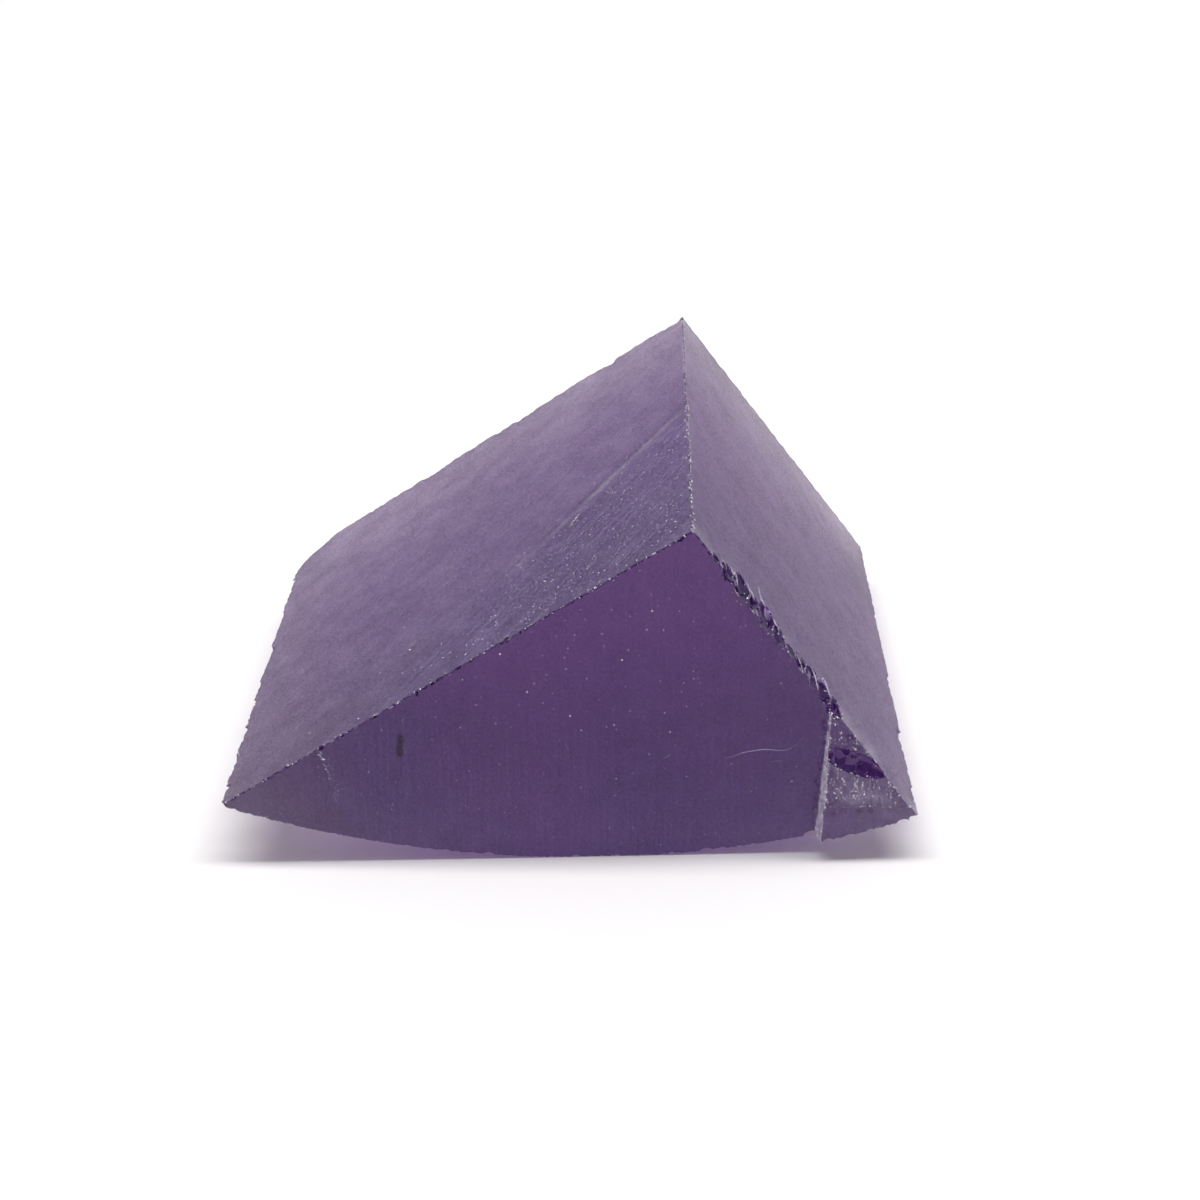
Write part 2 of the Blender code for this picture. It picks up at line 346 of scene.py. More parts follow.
# %% [markdown]
# ## Filling the flats
# Splitting triangles again and again leaves slivers. Instead every flat is filled afresh: its
# border is split first, so that both neighbours share the same points, then points are strewn
# inside it by halving squares until each is as small as the size field asks, and a Delaunay
# triangulation joins them. The new triangles lie exactly on the old flats.

# %% Split the borders
SPLIT_OVER = 1.35


def split_borders():
    waiting = list(flats.edges)
    while waiting:
        edge = waiting.pop()
        start, end = edge.verts
        if edge.calc_length() > SPLIT_OVER * side_at((start.co + end.co) / 2):
            half, _ = bmesh.utils.edge_split(edge, start, 0.5)
            waiting += [edge, half]
    flats.verts.index_update()


borders_before = len(flats.edges)
split_borders()
print("border edges:", borders_before, "->", len(flats.edges))

# %% Fill each flat
KEEP_OFF_BORDER = 0.62
COARSE_SQUARE = 0.8 * MM


def inside_outline(places, rim):
    """Which places lie inside an outline: a line to the right crosses it an odd number of times."""
    start = np.array(rim)
    end = np.roll(start, -1, axis=0)
    rise = np.where(end[:, 1] == start[:, 1], 1e-12, end[:, 1] - start[:, 1])
    above = places[:, 1, None]
    spans = (start[:, 1] > above) != (end[:, 1] > above)
    crossing = start[:, 0] + (above - start[:, 1]) / rise * (end[:, 0] - start[:, 0])
    return (spans & (places[:, 0, None] < crossing)).sum(axis=1) % 2 == 1


def squares_inside(rim, to_space):
    """Middles of graded squares inside a flat's outline, those close to its border left out."""
    border = tree_of([to_space(u, v) for u, v in rim])
    us, vs = zip(*rim)
    side = COARSE_SQUARE
    squares = [
        (min(us) + (i + 0.5) * side, min(vs) + (j + 0.5) * side)
        for i in range(math.ceil((max(us) - min(us)) / side))
        for j in range(math.ceil((max(vs) - min(vs)) / side))
    ]
    kept = []
    while squares:
        smaller = []
        for (u, v), is_inside in zip(squares, inside_outline(np.array(squares), rim)):
            point = to_space(u, v)
            to_border = border.find(point)[2]
            if not is_inside and to_border > side:
                continue
            wanted = side_at(point) * SPLIT_OVER
            if side > wanted:
                quarter = side / 4
                smaller += [(u + i * quarter, v + j * quarter) for i in (-1, 1) for j in (-1, 1)]
            elif is_inside and to_border > KEEP_OFF_BORDER * min(side, wanted):
                kept.append((u, v))
        squares = smaller
        side /= 2
    return kept


def fill_flat(face, points, triangles):
    """Append one flat's new points and triangles; border points keep their own numbers."""
    normal = face.normal
    across = normal.orthogonal().normalized()
    up = normal.cross(across)
    level = face.calc_center_median().dot(normal)
    rim_verts = [loop.vert for loop in face.loops]
    rim = [(vert.co.dot(across), vert.co.dot(up)) for vert in rim_verts]

    def to_space(u, v):
        return across * u + up * v + normal * level

    inside = squares_inside(rim, to_space) if len(rim) > 3 else []
    flat_points = [Vector(point) / MM for point in rim + inside]
    ring = [(i, (i + 1) % len(rim)) for i in range(len(rim))]
    _, _, faces, origins, _, _ = geometry.delaunay_2d_cdt(flat_points, ring, [], 1, 1e-6)
    numbers = [vert.index for vert in rim_verts]
    for u, v in inside:
        numbers.append(len(points))
        points.append(to_space(u, v))
    for corners in faces:
        triangles.append([numbers[origins[corner][0]] for corner in corners])
    return len(faces)


def filled_mesh(name):
    points = [vert.co.copy() for vert in flats.verts]
    triangles, owners = [], []
    for face, kind in zip(flats.faces, kinds):
        owners += [kind] * fill_flat(face, points, triangles)
    mesh = bpy.data.meshes.new(name)
    mesh.from_pydata(points, [], triangles)
    return mesh, owners


stone_mesh, owners = filled_mesh("stone")
print("triangles:", len(stone_mesh.polygons))

# %% [markdown]
# ## Attributes carry the names along
# Each kind of surface becomes a face attribute, 1 on its own faces and 0 elsewhere. Node trees can
# read these by name, both the ones that shape the mesh and the ones that colour it, so the names
# given above stay useful to the end.

# %% Write the attributes
for kind in KINDS:
    layer = stone_mesh.attributes.new(kind, "FLOAT", "FACE")
    layer.data.foreach_set("value", [float(owner == kind) for owner in owners])

stone = put_in_scene("stone", stone_mesh)
print({kind: owners.count(kind) for kind in KINDS})

# %% [markdown]
# ## Smooth hollows
# The frame makes each flake with a faceted ball. A real flake of sapphire is a shell: glass-smooth,
# without a single facet, and it stops dead at a sharp rim. So the points inside a flake are
# relaxed towards their neighbours a few times, and those on a rim are held.

# %% Relax the flakes
RELAX_ROUNDS = 18
RIM_ANGLE = math.radians(20.0)


def relax_flakes(mesh):
    shells = bmesh.new()
    shells.from_mesh(mesh)
    shells.verts.ensure_lookup_table()
    flake, chip = (shells.faces.layers.float[kind] for kind in ("flake", "chip"))
    loose = [
        vert for vert in shells.verts
        if all(face[flake] + face[chip] > 0.5 for face in vert.link_faces)
        and all(edge.calc_face_angle(0.0) < RIM_ANGLE for edge in vert.link_edges)
    ]
    for _ in range(RELAX_ROUNDS):
        bmesh.ops.smooth_vert(
            shells, verts=loose, factor=0.5, use_axis_x=True, use_axis_y=True, use_axis_z=True
        )
    shells.to_mesh(mesh)
    shells.free()
    return len(loose)


print("points relaxed:", relax_flakes(stone_mesh))

# %% [markdown]
# ## Building node trees in a script
# A few helpers keep the node code short. `add` makes a node and fills its inputs, each with a value
# or with another node's output. `put_tree` puts a finished geometry tree on an object and sets the
# tree's inputs by their identifiers. `bake_trees` turns what comes out into a plain mesh.

# %% Helpers for node trees
def add(tree, kind, inputs=None, **settings):
    """Add a node; `inputs` maps an input's name or number to a value or to an output socket."""
    made = tree.nodes.new(kind)
    for name, value in settings.items():
        setattr(made, name, value)
    for key, value in (inputs or {}).items():
        if isinstance(value, bpy.types.NodeSocket):
            tree.links.new(value, made.inputs[key])
        else:
            made.inputs[key].default_value = value
    return made


def maths(tree, operation, *values):
    return add(tree, "ShaderNodeMath", dict(enumerate(values)), operation=operation).outputs[0]


def vectors(tree, operation, *values):
    made = add(tree, "ShaderNodeVectorMath", dict(enumerate(values)), operation=operation)
    return made.outputs["Value" if operation in {"LENGTH", "DOT_PRODUCT"} else "Vector"]


def scaled(tree, vector, factor):
    made = add(tree, "ShaderNodeVectorMath", {0: vector, "Scale": factor}, operation="SCALE")
    return made.outputs["Vector"]


def geometry_tree(name, sockets):
    """A new geometry tree with named inputs; returns the tree and its input node."""
    tree = bpy.data.node_groups.new(name, "GeometryNodeTree")
    tree.interface.new_socket("Geometry", in_out="INPUT", socket_type="NodeSocketGeometry")
    for title, kind in sockets:
        tree.interface.new_socket(title, in_out="INPUT", socket_type="NodeSocket" + kind)
    tree.interface.new_socket("Geometry", in_out="OUTPUT", socket_type="NodeSocketGeometry")
    return tree, tree.nodes.new("NodeGroupInput")


def end_tree(tree, geometry_out, material):
    """Finish a tree the way an export needs: instances realized and the material set."""
    real = add(tree, "GeometryNodeRealizeInstances", {"Geometry": geometry_out})
    dressed = add(
        tree, "GeometryNodeSetMaterial", {"Geometry": real.outputs[0], "Material": material}
    )
    add(tree, "NodeGroupOutput", {"Geometry": dressed.outputs[0]})


def named(tree, attribute, kind="FLOAT"):
    """Read an attribute of the mesh by its name."""
    made = add(tree, "GeometryNodeInputNamedAttribute", {"Name": attribute}, data_type=kind)
    return made.outputs["Attribute"]


def chance(tree, seed, offset, low=0.0, high=1.0):
    """A random number for each point; the offset keeps one use of the seed apart from the next."""
    made = add(
        tree, "FunctionNodeRandomValue", {2: low, 3: high, "Seed": maths(tree, "ADD", seed, offset)}
    )
    return made.outputs[1]


def chance_vector(tree, seed, offset, half=0.5):
    made = add(
        tree, "FunctionNodeRandomValue",
        {0: (-half,) * 3, 1: (half,) * 3, "Seed": maths(tree, "ADD", seed, offset)},
        data_type="FLOAT_VECTOR",
    )
    return made.outputs[0]


def put_tree(thing, tree, values):
    modifier = thing.modifiers.new(tree.name, "NODES")
    modifier.node_group = tree
    for item in tree.interface.items_tree:
        if item.in_out == "INPUT" and item.name in values:
            modifier[item.identifier] = values[item.name]


def bake_trees(thing):
    """Replace an object's mesh by what its modifiers make, and drop the modifiers."""
    evaluated = thing.evaluated_get(bpy.context.evaluated_depsgraph_get())
    mesh = bpy.data.meshes.new_from_object(evaluated)
    thing.modifiers.clear()
    thing.data = mesh
    return len(mesh.polygons)


# %% [markdown]
# ## The wires that the chips follow
# Chips sit along edges, so the edges are pulled out as wires. Each wire point also carries the
# direction that points away from the stone there. The edges don't all wear alike: the ridge and
# the front edge of the left slope are crisp with a fine saw-tooth, the edges that meet the round
# skin crumble in larger bites, and those round the glassy flakes and the tab splinter.

# %% Pull out the edges as wires
def wire_name(names):
    if "back" in names:
        return "back_edges"
    if names == {"left", "right"}:
        return "ridge_edges"
    if names in ({"front", "left"}, {"front", "right"}):
        return "keen_edges"
    if "ledge" in names:
        return "ledge_edges"
    if names & {"tab", "wall"} and "skin" not in names:
        return "tab_edges"
    if "skin" in names and names & {"tab", "wall"}:
        return "tab_foot_edges"
    if names == {"skin", "front"}:
        return "belly_edges"
    if "skin" in names or "chip" in names:
        return "skin_edges"
    return "splintered_edges"


def collect_wires():
    wires = {}
    for edge in flats.edges:
        names = {kinds[face.index] for face in edge.link_faces}
        if len(names) < 2 or edge.calc_face_angle(0.0) < RIM_ANGLE:
            continue
        wires.setdefault(wire_name(names), []).append(edge)
    return wires


def wire_object(name, edges):
    numbers, points, outward, pairs = {}, [], [], []
    for edge in edges:
        away = sum((face.normal for face in edge.link_faces), Vector())
        pair = []
        for vert in edge.verts:
            if vert.index not in numbers:
                numbers[vert.index] = len(points)
                points.append(vert.co.copy())
                outward.append(Vector())
            outward[numbers[vert.index]] += away
            pair.append(numbers[vert.index])
        pairs.append(pair)
    mesh = bpy.data.meshes.new(name)
    mesh.from_pydata(points, pairs, [])
    layer = mesh.attributes.new("outward", "FLOAT_VECTOR", "POINT")
    layer.data.foreach_set("vector", [part for way in outward for part in way.normalized()])
    return put_in_scene(name, mesh)


wires = {name: wire_object(name, edges) for name, edges in collect_wires().items()}
print({name: len(wire.data.edges) for name, wire in wires.items()})

# %% [markdown]
# ## Chips along an edge, with Geometry Nodes
# A chip in crystal is a piece of a ball's surface pressed into the edge. The tree turns a wire
# into evenly spaced points, shifts each one a little, gives it a random radius, and moves it
# outwards until only a part of its ball, the bite, is inside the stone. Then every point of the
# stone that is inside its nearest ball is pushed out of the ball, which is always into the stone.
# A Boolean would also do this, but thousands of balls would take minutes and leave slivers; this
# takes a moment.
#
# The tree notes where it cut in an attribute called `broken`, as clear as the run says: fresh chips
# are glassy, and old worn ones are as matt as the saw cuts.

# %% The tree that nibbles an edge
FEW_LARGE = 2.5
WANDER = 0.4


def chip_balls(tree, given):
    """The middles of the chips' balls as points that note their own radius."""
    wire = add(tree, "GeometryNodeObjectInfo", {"Object": given["Edge"]}).outputs["Geometry"]
    curve = add(tree, "GeometryNodeMeshToCurve", {"Mesh": wire}).outputs[0]
    spots = add(
        tree, "GeometryNodeCurveToPoints", {"Curve": curve, "Length": given["Spacing"]},
        mode="LENGTH",
    )
    seed = given["Seed"]
    share = maths(tree, "POWER", chance(tree, seed, 1), FEW_LARGE)
    spread = maths(tree, "SUBTRACT", given["Largest"], given["Smallest"])
    radius = maths(tree, "MULTIPLY_ADD", share, spread, given["Smallest"])
    out_of_edge = maths(tree, "MULTIPLY", radius, maths(tree, "SUBTRACT", 1.0, given["Bite"]))
    away = vectors(tree, "NORMALIZE", named(tree, "outward", "FLOAT_VECTOR"))
    slide = maths(tree, "MULTIPLY", chance(tree, seed, 2, -0.5, 0.5), given["Spacing"])
    wander = scaled(tree, chance_vector(tree, seed, 4), maths(tree, "MULTIPLY", radius, WANDER))
    shift = vectors(tree, "ADD", scaled(tree, spots.outputs["Tangent"], slide), wander)
    offset = vectors(tree, "ADD", scaled(tree, away, out_of_edge), shift)
    noted = add(
        tree, "GeometryNodeStoreNamedAttribute",
        {"Geometry": spots.outputs["Points"], "Name": "chip_radius", "Value": radius},
        data_type="FLOAT", domain="POINT",
    ).outputs[0]
    return add(tree, "GeometryNodeSetPosition", {"Geometry": noted, "Offset": offset}).outputs[0]


def nearest_ball(tree, balls, position):
    """The middle and the radius of the ball nearest to each point of the stone."""
    nearest = add(tree, "GeometryNodeSampleNearest", {"Geometry": balls}).outputs[0]
    centre = add(
        tree, "GeometryNodeSampleIndex", {"Geometry": balls, "Value": position, "Index": nearest},
        data_type="FLOAT_VECTOR",
    ).outputs[0]
    reach = add(
        tree, "GeometryNodeSampleIndex",
        {"Geometry": balls, "Value": named(tree, "chip_radius"), "Index": nearest},
        data_type="FLOAT",
    ).outputs[0]
    return centre, reach


def nibble_tree():
    tree, given = geometry_tree("edge_nibbles", (
        ("Edge", "Object"), ("Spacing", "Float"), ("Smallest", "Float"), ("Largest", "Float"),
        ("Bite", "Float"), ("Clear", "Float"), ("Seed", "Int"), ("Material", "Material"),
    ))
    given = given.outputs
    position = add(tree, "GeometryNodeInputPosition").outputs[0]
    centre, reach = nearest_ball(tree, chip_balls(tree, given), position)
    from_centre = vectors(tree, "SUBTRACT", position, centre)
    inside = maths(tree, "LESS_THAN", vectors(tree, "LENGTH", from_centre), reach)
    pushed = vectors(
        tree, "ADD", centre, scaled(tree, vectors(tree, "NORMALIZE", from_centre), reach)
    )
    cleared = maths(tree, "MULTIPLY", inside, given["Clear"])
    marked = add(
        tree, "GeometryNodeStoreNamedAttribute",
        {"Geometry": given["Geometry"], "Name": "broken",
         "Value": maths(tree, "MAXIMUM", named(tree, "broken"), cleared)},
        data_type="FLOAT", domain="POINT",
    ).outputs[0]
    nibbled = add(
        tree, "GeometryNodeSetPosition",
        {"Geometry": marked, "Selection": inside, "Position": pushed},
    ).outputs[0]
    end_tree(tree, nibbled, given["Material"])
    return tree


NIBBLES = nibble_tree()
print("edge_nibbles has", len(NIBBLES.nodes), "nodes")

# %% [markdown]
# ## Torn and grown surfaces, with one tree
# Three surfaces are uneven: the tab, which tore in upright ribs; the wall beside it, which is
# crushed; and the skin, which grew in faint rings round the boule. All three are the same idea, a
# noise stretched in one direction that lowers the surface, so one tree makes them. It only ever
# lowers, which keeps the stone inside its measured size. A second tree does the same with tilted
# cells instead of a noise, for the splintered flakes.

# %% The tree that lowers a surface
RELIEF_FROM, RELIEF_TO = 0.3, 0.7  # the noise hardly ever leaves this range


def lowering_tree():
    tree, given = geometry_tree("lowered_surface", (
        ("Surface", "String"), ("Depth", "Float"), ("Stretch", "Vector"), ("Detail", "Float"),
        ("Seed", "Float"), ("Material", "Material"),
    ))
    given = given.outputs
    mask = named(tree, given["Surface"])
    position = add(tree, "GeometryNodeInputPosition").outputs[0]
    stretched = vectors(tree, "MULTIPLY", position, given["Stretch"])
    relief = add(
        tree, "ShaderNodeTexNoise",
        {"Vector": stretched, "W": given["Seed"], "Scale": 1.0, "Detail": given["Detail"]},
        noise_dimensions="4D",
    ).outputs["Fac"]
    level = add(
        tree, "ShaderNodeMapRange",
        {"Value": relief, "From Min": RELIEF_FROM, "From Max": RELIEF_TO},
    ).outputs["Result"]
    drop = maths(tree, "MULTIPLY", maths(tree, "MULTIPLY", level, mask), given["Depth"])
    normal = add(tree, "GeometryNodeInputNormal").outputs[0]
    offset = scaled(tree, normal, maths(tree, "MULTIPLY", drop, -1.0))
    lowered = add(
        tree, "GeometryNodeSetPosition", {"Geometry": given["Geometry"], "Offset": offset}
    ).outputs[0]
    end_tree(tree, lowered, given["Material"])
    return tree


LOWERED = lowering_tree()
print("lowered_surface has", len(LOWERED.nodes), "nodes")

# %% The tree that shatters a surface
def shattering_tree():
    """Cells with a random tilt each, so that some shards are dark and some bright."""
    tree, given = geometry_tree("shattered_surface", (
        ("Surface", "String"), ("Depth", "Float"), ("Stretch", "Vector"), ("Tilt", "Float"),
        ("Material", "Material"),
    ))
    given = given.outputs
    position = add(tree, "GeometryNodeInputPosition").outputs[0]
    stretched = vectors(tree, "MULTIPLY", position, given["Stretch"])
    cells = add(tree, "ShaderNodeTexVoronoi", {"Vector": stretched, "Scale": 1.0}).outputs
    from_middle = vectors(tree, "SUBTRACT", stretched, cells["Position"])
    lean = vectors(tree, "SUBTRACT", cells["Color"], (0.5, 0.5, 0.5))
    tilt = maths(tree, "MULTIPLY", vectors(tree, "DOT_PRODUCT", from_middle, lean), given["Tilt"])
    level = add(tree, "ShaderNodeMath", {0: tilt, 1: 0.5}, operation="ADD", use_clamp=True)
    depth = maths(tree, "MULTIPLY", given["Depth"], named(tree, given["Surface"]))
    drop = maths(tree, "MULTIPLY", level.outputs[0], depth)
    normal = add(tree, "GeometryNodeInputNormal").outputs[0]
    offset = scaled(tree, normal, maths(tree, "MULTIPLY", drop, -1.0))
    shattered = add(
        tree, "GeometryNodeSetPosition", {"Geometry": given["Geometry"], "Offset": offset}
    ).outputs[0]
    end_tree(tree, shattered, given["Material"])
    return tree


SHATTERED = shattering_tree()
print("shattered_surface has", len(SHATTERED.nodes), "nodes")

# %% [markdown]
# ## Grit and dust, with Geometry Nodes
# Crystal dust is what a saw leaves: white grains caught in the nibbled edges, in scratches and in
# the saw marks, and a few loose ones on the faces. A grain is a squashed twenty-sided ball, because
# nobody can see more at this size. One tree strews grains over a surface, thinning them out away
# from a line and, where wanted, gathering them in streaks. A second one lines them up on a path.

# %% What both grain trees share
def grain_radius(tree, given):
    spread = maths(tree, "SUBTRACT", given["Largest"], given["Smallest"])
    share = maths(tree, "POWER", chance(tree, given["Seed"], 1), FEW_LARGE)
    return maths(tree, "MULTIPLY_ADD", share, spread, given["Smallest"])


def grains_on(tree, points, given, rotation):
    """A squashed, stretched twenty-sided ball on each point."""
    ball = add(tree, "GeometryNodeMeshIcoSphere", {"Radius": 1.0, "Subdivisions": 1})
    radius = grain_radius(tree, given)
    length = maths(tree, "MULTIPLY", given["Long"], chance(tree, given["Seed"], 3, 0.6, 1.0))
    sides = add(tree, "ShaderNodeCombineXYZ", {"X": length, "Y": 1.0, "Z": 0.7}).outputs[0]
    return add(
        tree, "GeometryNodeInstanceOnPoints",
        {"Points": points, "Instance": ball.outputs["Mesh"], "Rotation": rotation,
         "Scale": scaled(tree, sides, radius)},
    ).outputs[0]


# %% The tree that strews grains over a surface
STREAK_FROM, STREAK_TO = 0.5, 0.68
STREAK_SLOWNESS = 0.06  # changes along a streak for each change across it


def likely_place(tree, given):
    """How likely a grain is to stay at each point: fading away from a line, and in streaks."""
    position = add(tree, "GeometryNodeInputPosition").outputs[0]

    def place_along(way, per_metre):
        distance = vectors(tree, "DOT_PRODUCT", position, given[way])
        return maths(tree, "MULTIPLY", distance, per_metre)

    sparse = maths(tree, "MULTIPLY", given["Streaks Per Metre"], STREAK_SLOWNESS)
    place = add(tree, "ShaderNodeCombineXYZ", {
        "X": place_along("Across", given["Streaks Per Metre"]), "Y": place_along("Along", sparse),
    }).outputs[0]
    pattern = add(tree, "ShaderNodeTexNoise", {"Vector": place, "Scale": 1.0, "Detail": 2.0})
    streak = add(
        tree, "ShaderNodeMapRange",
        {"Value": pattern.outputs["Fac"], "From Min": STREAK_FROM, "From Max": STREAK_TO},
    ).outputs["Result"]
    gathered = add(
        tree, "ShaderNodeMix", {0: given["Streaks"], 2: 1.0, 3: streak}, data_type="FLOAT"
    ).outputs[0]
    from_line = vectors(tree, "SUBTRACT", position, given["Fade Point"])
    inward = vectors(tree, "DOT_PRODUCT", from_line, given["Fade Way"])
    fade = add(
        tree, "ShaderNodeMath", {0: inward, 1: given["Fade Over"]}, operation="DIVIDE",
        use_clamp=True,
    ).outputs[0]
    return maths(tree, "MULTIPLY", fade, gathered)


def strewing_tree():
    tree, given = geometry_tree("strewn_grains", (
        ("Ground", "Object"), ("Surface", "String"), ("Per Square Metre", "Float"),
        ("Streaks", "Float"), ("Across", "Vector"), ("Along", "Vector"),
        ("Streaks Per Metre", "Float"), ("Fade Point", "Vector"), ("Fade Way", "Vector"),
        ("Fade Over", "Float"), ("Smallest", "Float"), ("Largest", "Float"), ("Long", "Float"),
        ("Seed", "Int"), ("Material", "Material"),
    ))
    given = given.outputs
    ground = add(tree, "GeometryNodeObjectInfo", {"Object": given["Ground"]}).outputs["Geometry"]
    density = maths(tree, "MULTIPLY", given["Per Square Metre"], named(tree, given["Surface"]))
    strewn = add(
        tree, "GeometryNodeDistributePointsOnFaces",
        {"Mesh": ground, "Density": density, "Seed": given["Seed"]},
    )
    turned = add(
        tree, "FunctionNodeAlignRotationToVector",
        {"Rotation": strewn.outputs["Rotation"], "Vector": given["Along"]},
        axis="X", pivot_axis="Z",
    ).outputs[0]
    noted = add(
        tree, "GeometryNodeStoreNamedAttribute",
        {"Geometry": strewn.outputs["Points"], "Name": "turn", "Value": turned},
        data_type="QUATERNION", domain="POINT",
    ).outputs[0]
    unlucky = maths(
        tree, "GREATER_THAN", chance(tree, given["Seed"], 5), likely_place(tree, given)
    )
    kept = add(
        tree, "GeometryNodeDeleteGeometry", {"Geometry": noted, "Selection": unlucky},
        domain="POINT",
    ).outputs[0]
    grains = grains_on(tree, kept, given, named(tree, "turn", "QUATERNION"))
    end_tree(tree, grains, given["Material"])
    return tree


STREWN = strewing_tree()

# %% The tree that lines grains up on a path
def trail_tree():
    tree, given = geometry_tree("grain_trail", (
        ("Path", "Object"), ("Spacing", "Float"), ("Spread", "Float"), ("Keep", "Float"),
        ("Smallest", "Float"), ("Largest", "Float"), ("Long", "Float"),
        ("Seed", "Int"), ("Material", "Material"),
    ))
    given = given.outputs
    path = add(tree, "GeometryNodeObjectInfo", {"Object": given["Path"]}).outputs["Geometry"]
    curve = add(tree, "GeometryNodeMeshToCurve", {"Mesh": path}).outputs[0]
    spots = add(
        tree, "GeometryNodeCurveToPoints", {"Curve": curve, "Length": given["Spacing"]},
        mode="LENGTH",
    )
    left_out = maths(tree, "GREATER_THAN", chance(tree, given["Seed"], 5), given["Keep"])
    kept = add(
        tree, "GeometryNodeDeleteGeometry",
        {"Geometry": spots.outputs["Points"], "Selection": left_out}, domain="POINT",
    ).outputs[0]
    shift = scaled(tree, chance_vector(tree, given["Seed"], 7), given["Spread"])
    moved = add(tree, "GeometryNodeSetPosition", {"Geometry": kept, "Offset": shift}).outputs[0]
    turned = add(
        tree, "FunctionNodeAlignRotationToVector",
        {"Vector": chance_vector(tree, given["Seed"], 9)}, axis="X",
    ).outputs[0]
    end_tree(tree, grains_on(tree, moved, given, turned), given["Material"])
    return tree


TRAIL = trail_tree()
print("grain trees have", len(STREWN.nodes), "and", len(TRAIL.nodes), "nodes")

# %% [markdown]
# ## Effects that several surfaces share
# Four patterns do all the work. `lines` is a noise squeezed across and stretched along one
# direction: saw lines, growth rings, torn ribs. `haze` is the soft cloudiness of matt crystal.
# `side_of_line` is 1 on one side of a line and 0 on the other, for a saw that was set down twice.
# `spot` is a soft round mark. They are shader node groups, so each surface places them with its
# own values.

# %% The shared shader groups
def shader_group(name, sockets, output):
    tree = bpy.data.node_groups.new(name, "ShaderNodeTree")
    for title, kind in sockets:
        tree.interface.new_socket(title, in_out="INPUT", socket_type="NodeSocket" + kind)
    tree.interface.new_socket(output, in_out="OUTPUT", socket_type="NodeSocketFloat")
    position = add(tree, "ShaderNodeTexCoord").outputs["Object"]
    return tree, tree.nodes.new("NodeGroupInput").outputs, position


def spread_about_half(tree, value, contrast):
    """Stretch a noise about its middle value, and keep it between 0 and 1."""
    centred = maths(tree, "SUBTRACT", value, 0.5)
    made = add(
        tree, "ShaderNodeMath", {0: centred, 1: contrast, 2: 0.5}, operation="MULTIPLY_ADD",
        use_clamp=True,
    )
    return made.outputs[0]


def lines_group():
    """Across and along are directions times the number of changes per metre."""
    tree, given, position = shader_group("lines", (
        ("Across", "Vector"), ("Along", "Vector"), ("Contrast", "Float"), ("Seed", "Float"),
    ), "Height")
    place = add(tree, "ShaderNodeCombineXYZ", {
        "X": vectors(tree, "DOT_PRODUCT", position, given["Across"]),
        "Y": vectors(tree, "DOT_PRODUCT", position, given["Along"]),
        "Z": given["Seed"],
    }).outputs[0]
    pattern = add(tree, "ShaderNodeTexNoise", {"Vector": place, "Scale": 1.0, "Detail": 2.0})
    height = spread_about_half(tree, pattern.outputs["Fac"], given["Contrast"])
    add(tree, "NodeGroupOutput", {"Height": height})
    return tree


def haze_group():
    tree, given, position = shader_group("haze", (
        ("Per Metre", "Float"), ("Seed", "Float"), ("Contrast", "Float"),
    ), "Mask")
    moved = vectors(tree, "ADD", scaled(tree, position, given["Per Metre"]), given["Seed"])
    pattern = add(
        tree, "ShaderNodeTexNoise",
        {"Vector": moved, "Scale": 1.0, "Detail": 2.0, "Roughness": 0.6},
    ).outputs["Fac"]
    add(tree, "NodeGroupOutput", {"Mask": spread_about_half(tree, pattern, given["Contrast"])})
    return tree


def side_group():
    tree, given, position = shader_group("side_of_line", (
        ("Point", "Vector"), ("Towards", "Vector"), ("Soft", "Float"),
    ), "Mask")
    from_line = vectors(tree, "SUBTRACT", position, given["Point"])
    distance = vectors(tree, "DOT_PRODUCT", from_line, given["Towards"])
    share = maths(tree, "DIVIDE", distance, given["Soft"])
    side = add(tree, "ShaderNodeMath", {0: share, 1: 0.5}, operation="ADD", use_clamp=True)
    add(tree, "NodeGroupOutput", {"Mask": side.outputs[0]})
    return tree


def spot_group():
    tree, given, position = shader_group("spot", (
        ("Centre", "Vector"), ("Reach", "Vector"),
    ), "Mask")
    from_centre = vectors(tree, "SUBTRACT", position, given["Centre"])
    share = vectors(tree, "LENGTH", vectors(tree, "DIVIDE", from_centre, given["Reach"]))
    soft = add(
        tree, "ShaderNodeMapRange", {"Value": share, "To Min": 1.0, "To Max": 0.0},
        interpolation_type="SMOOTHSTEP",
    )
    add(tree, "NodeGroupOutput", {"Mask": soft.outputs["Result"]})
    return tree


LINES = lines_group()
HAZE = haze_group()
SIDE = side_group()
SPOT = spot_group()
print("shared groups:", [group.name for group in (LINES, HAZE, SIDE, SPOT)])

# %% [markdown]
# ## The sapphire itself
# Sapphire bends light strongly (an index of 1.77) and is perfectly clear inside; its colour is in
# the depth, so it is set as absorption in the volume and not painted on. What the saw does is make
# the skin of the crystal matt: light still passes, but it is scattered on the way, which is a high
# roughness on a transmitting surface. On the fresh breaks the roughness is low, and one looks into
# dark, clear stone.
#
# The whole surface has to be one material. A ray that enters a coloured body through one material
# and leaves through another is never told that it has left, and everything behind goes black. So
# the attributes tell this one material where it is sawn, torn, crushed or glassy. White bruises are
# a matt coat with a high index, because a coat can be weighted by a mask.

# %% Values and helpers of the sapphire
SAPPHIRE_INDEX = 1.77
TRANSMISSION = 0.97
GLEAM = (0.60, 0.42, 0.80, 1.0)  # tint of what the surface mirrors
ABSORPTION_PER_METRE = 122.0
ABSORPTION_COLOUR = (0.55, 0.33, 0.70, 1.0)
FROST_INDEX, FROST_ROUGHNESS = 2.8, 0.6


def new_material(name):
    """A material with its node tree and its surface shader."""
    material = bpy.data.materials.new(name)
    material.use_nodes = True
    return material, material.node_tree, material.node_tree.nodes["Principled BSDF"]


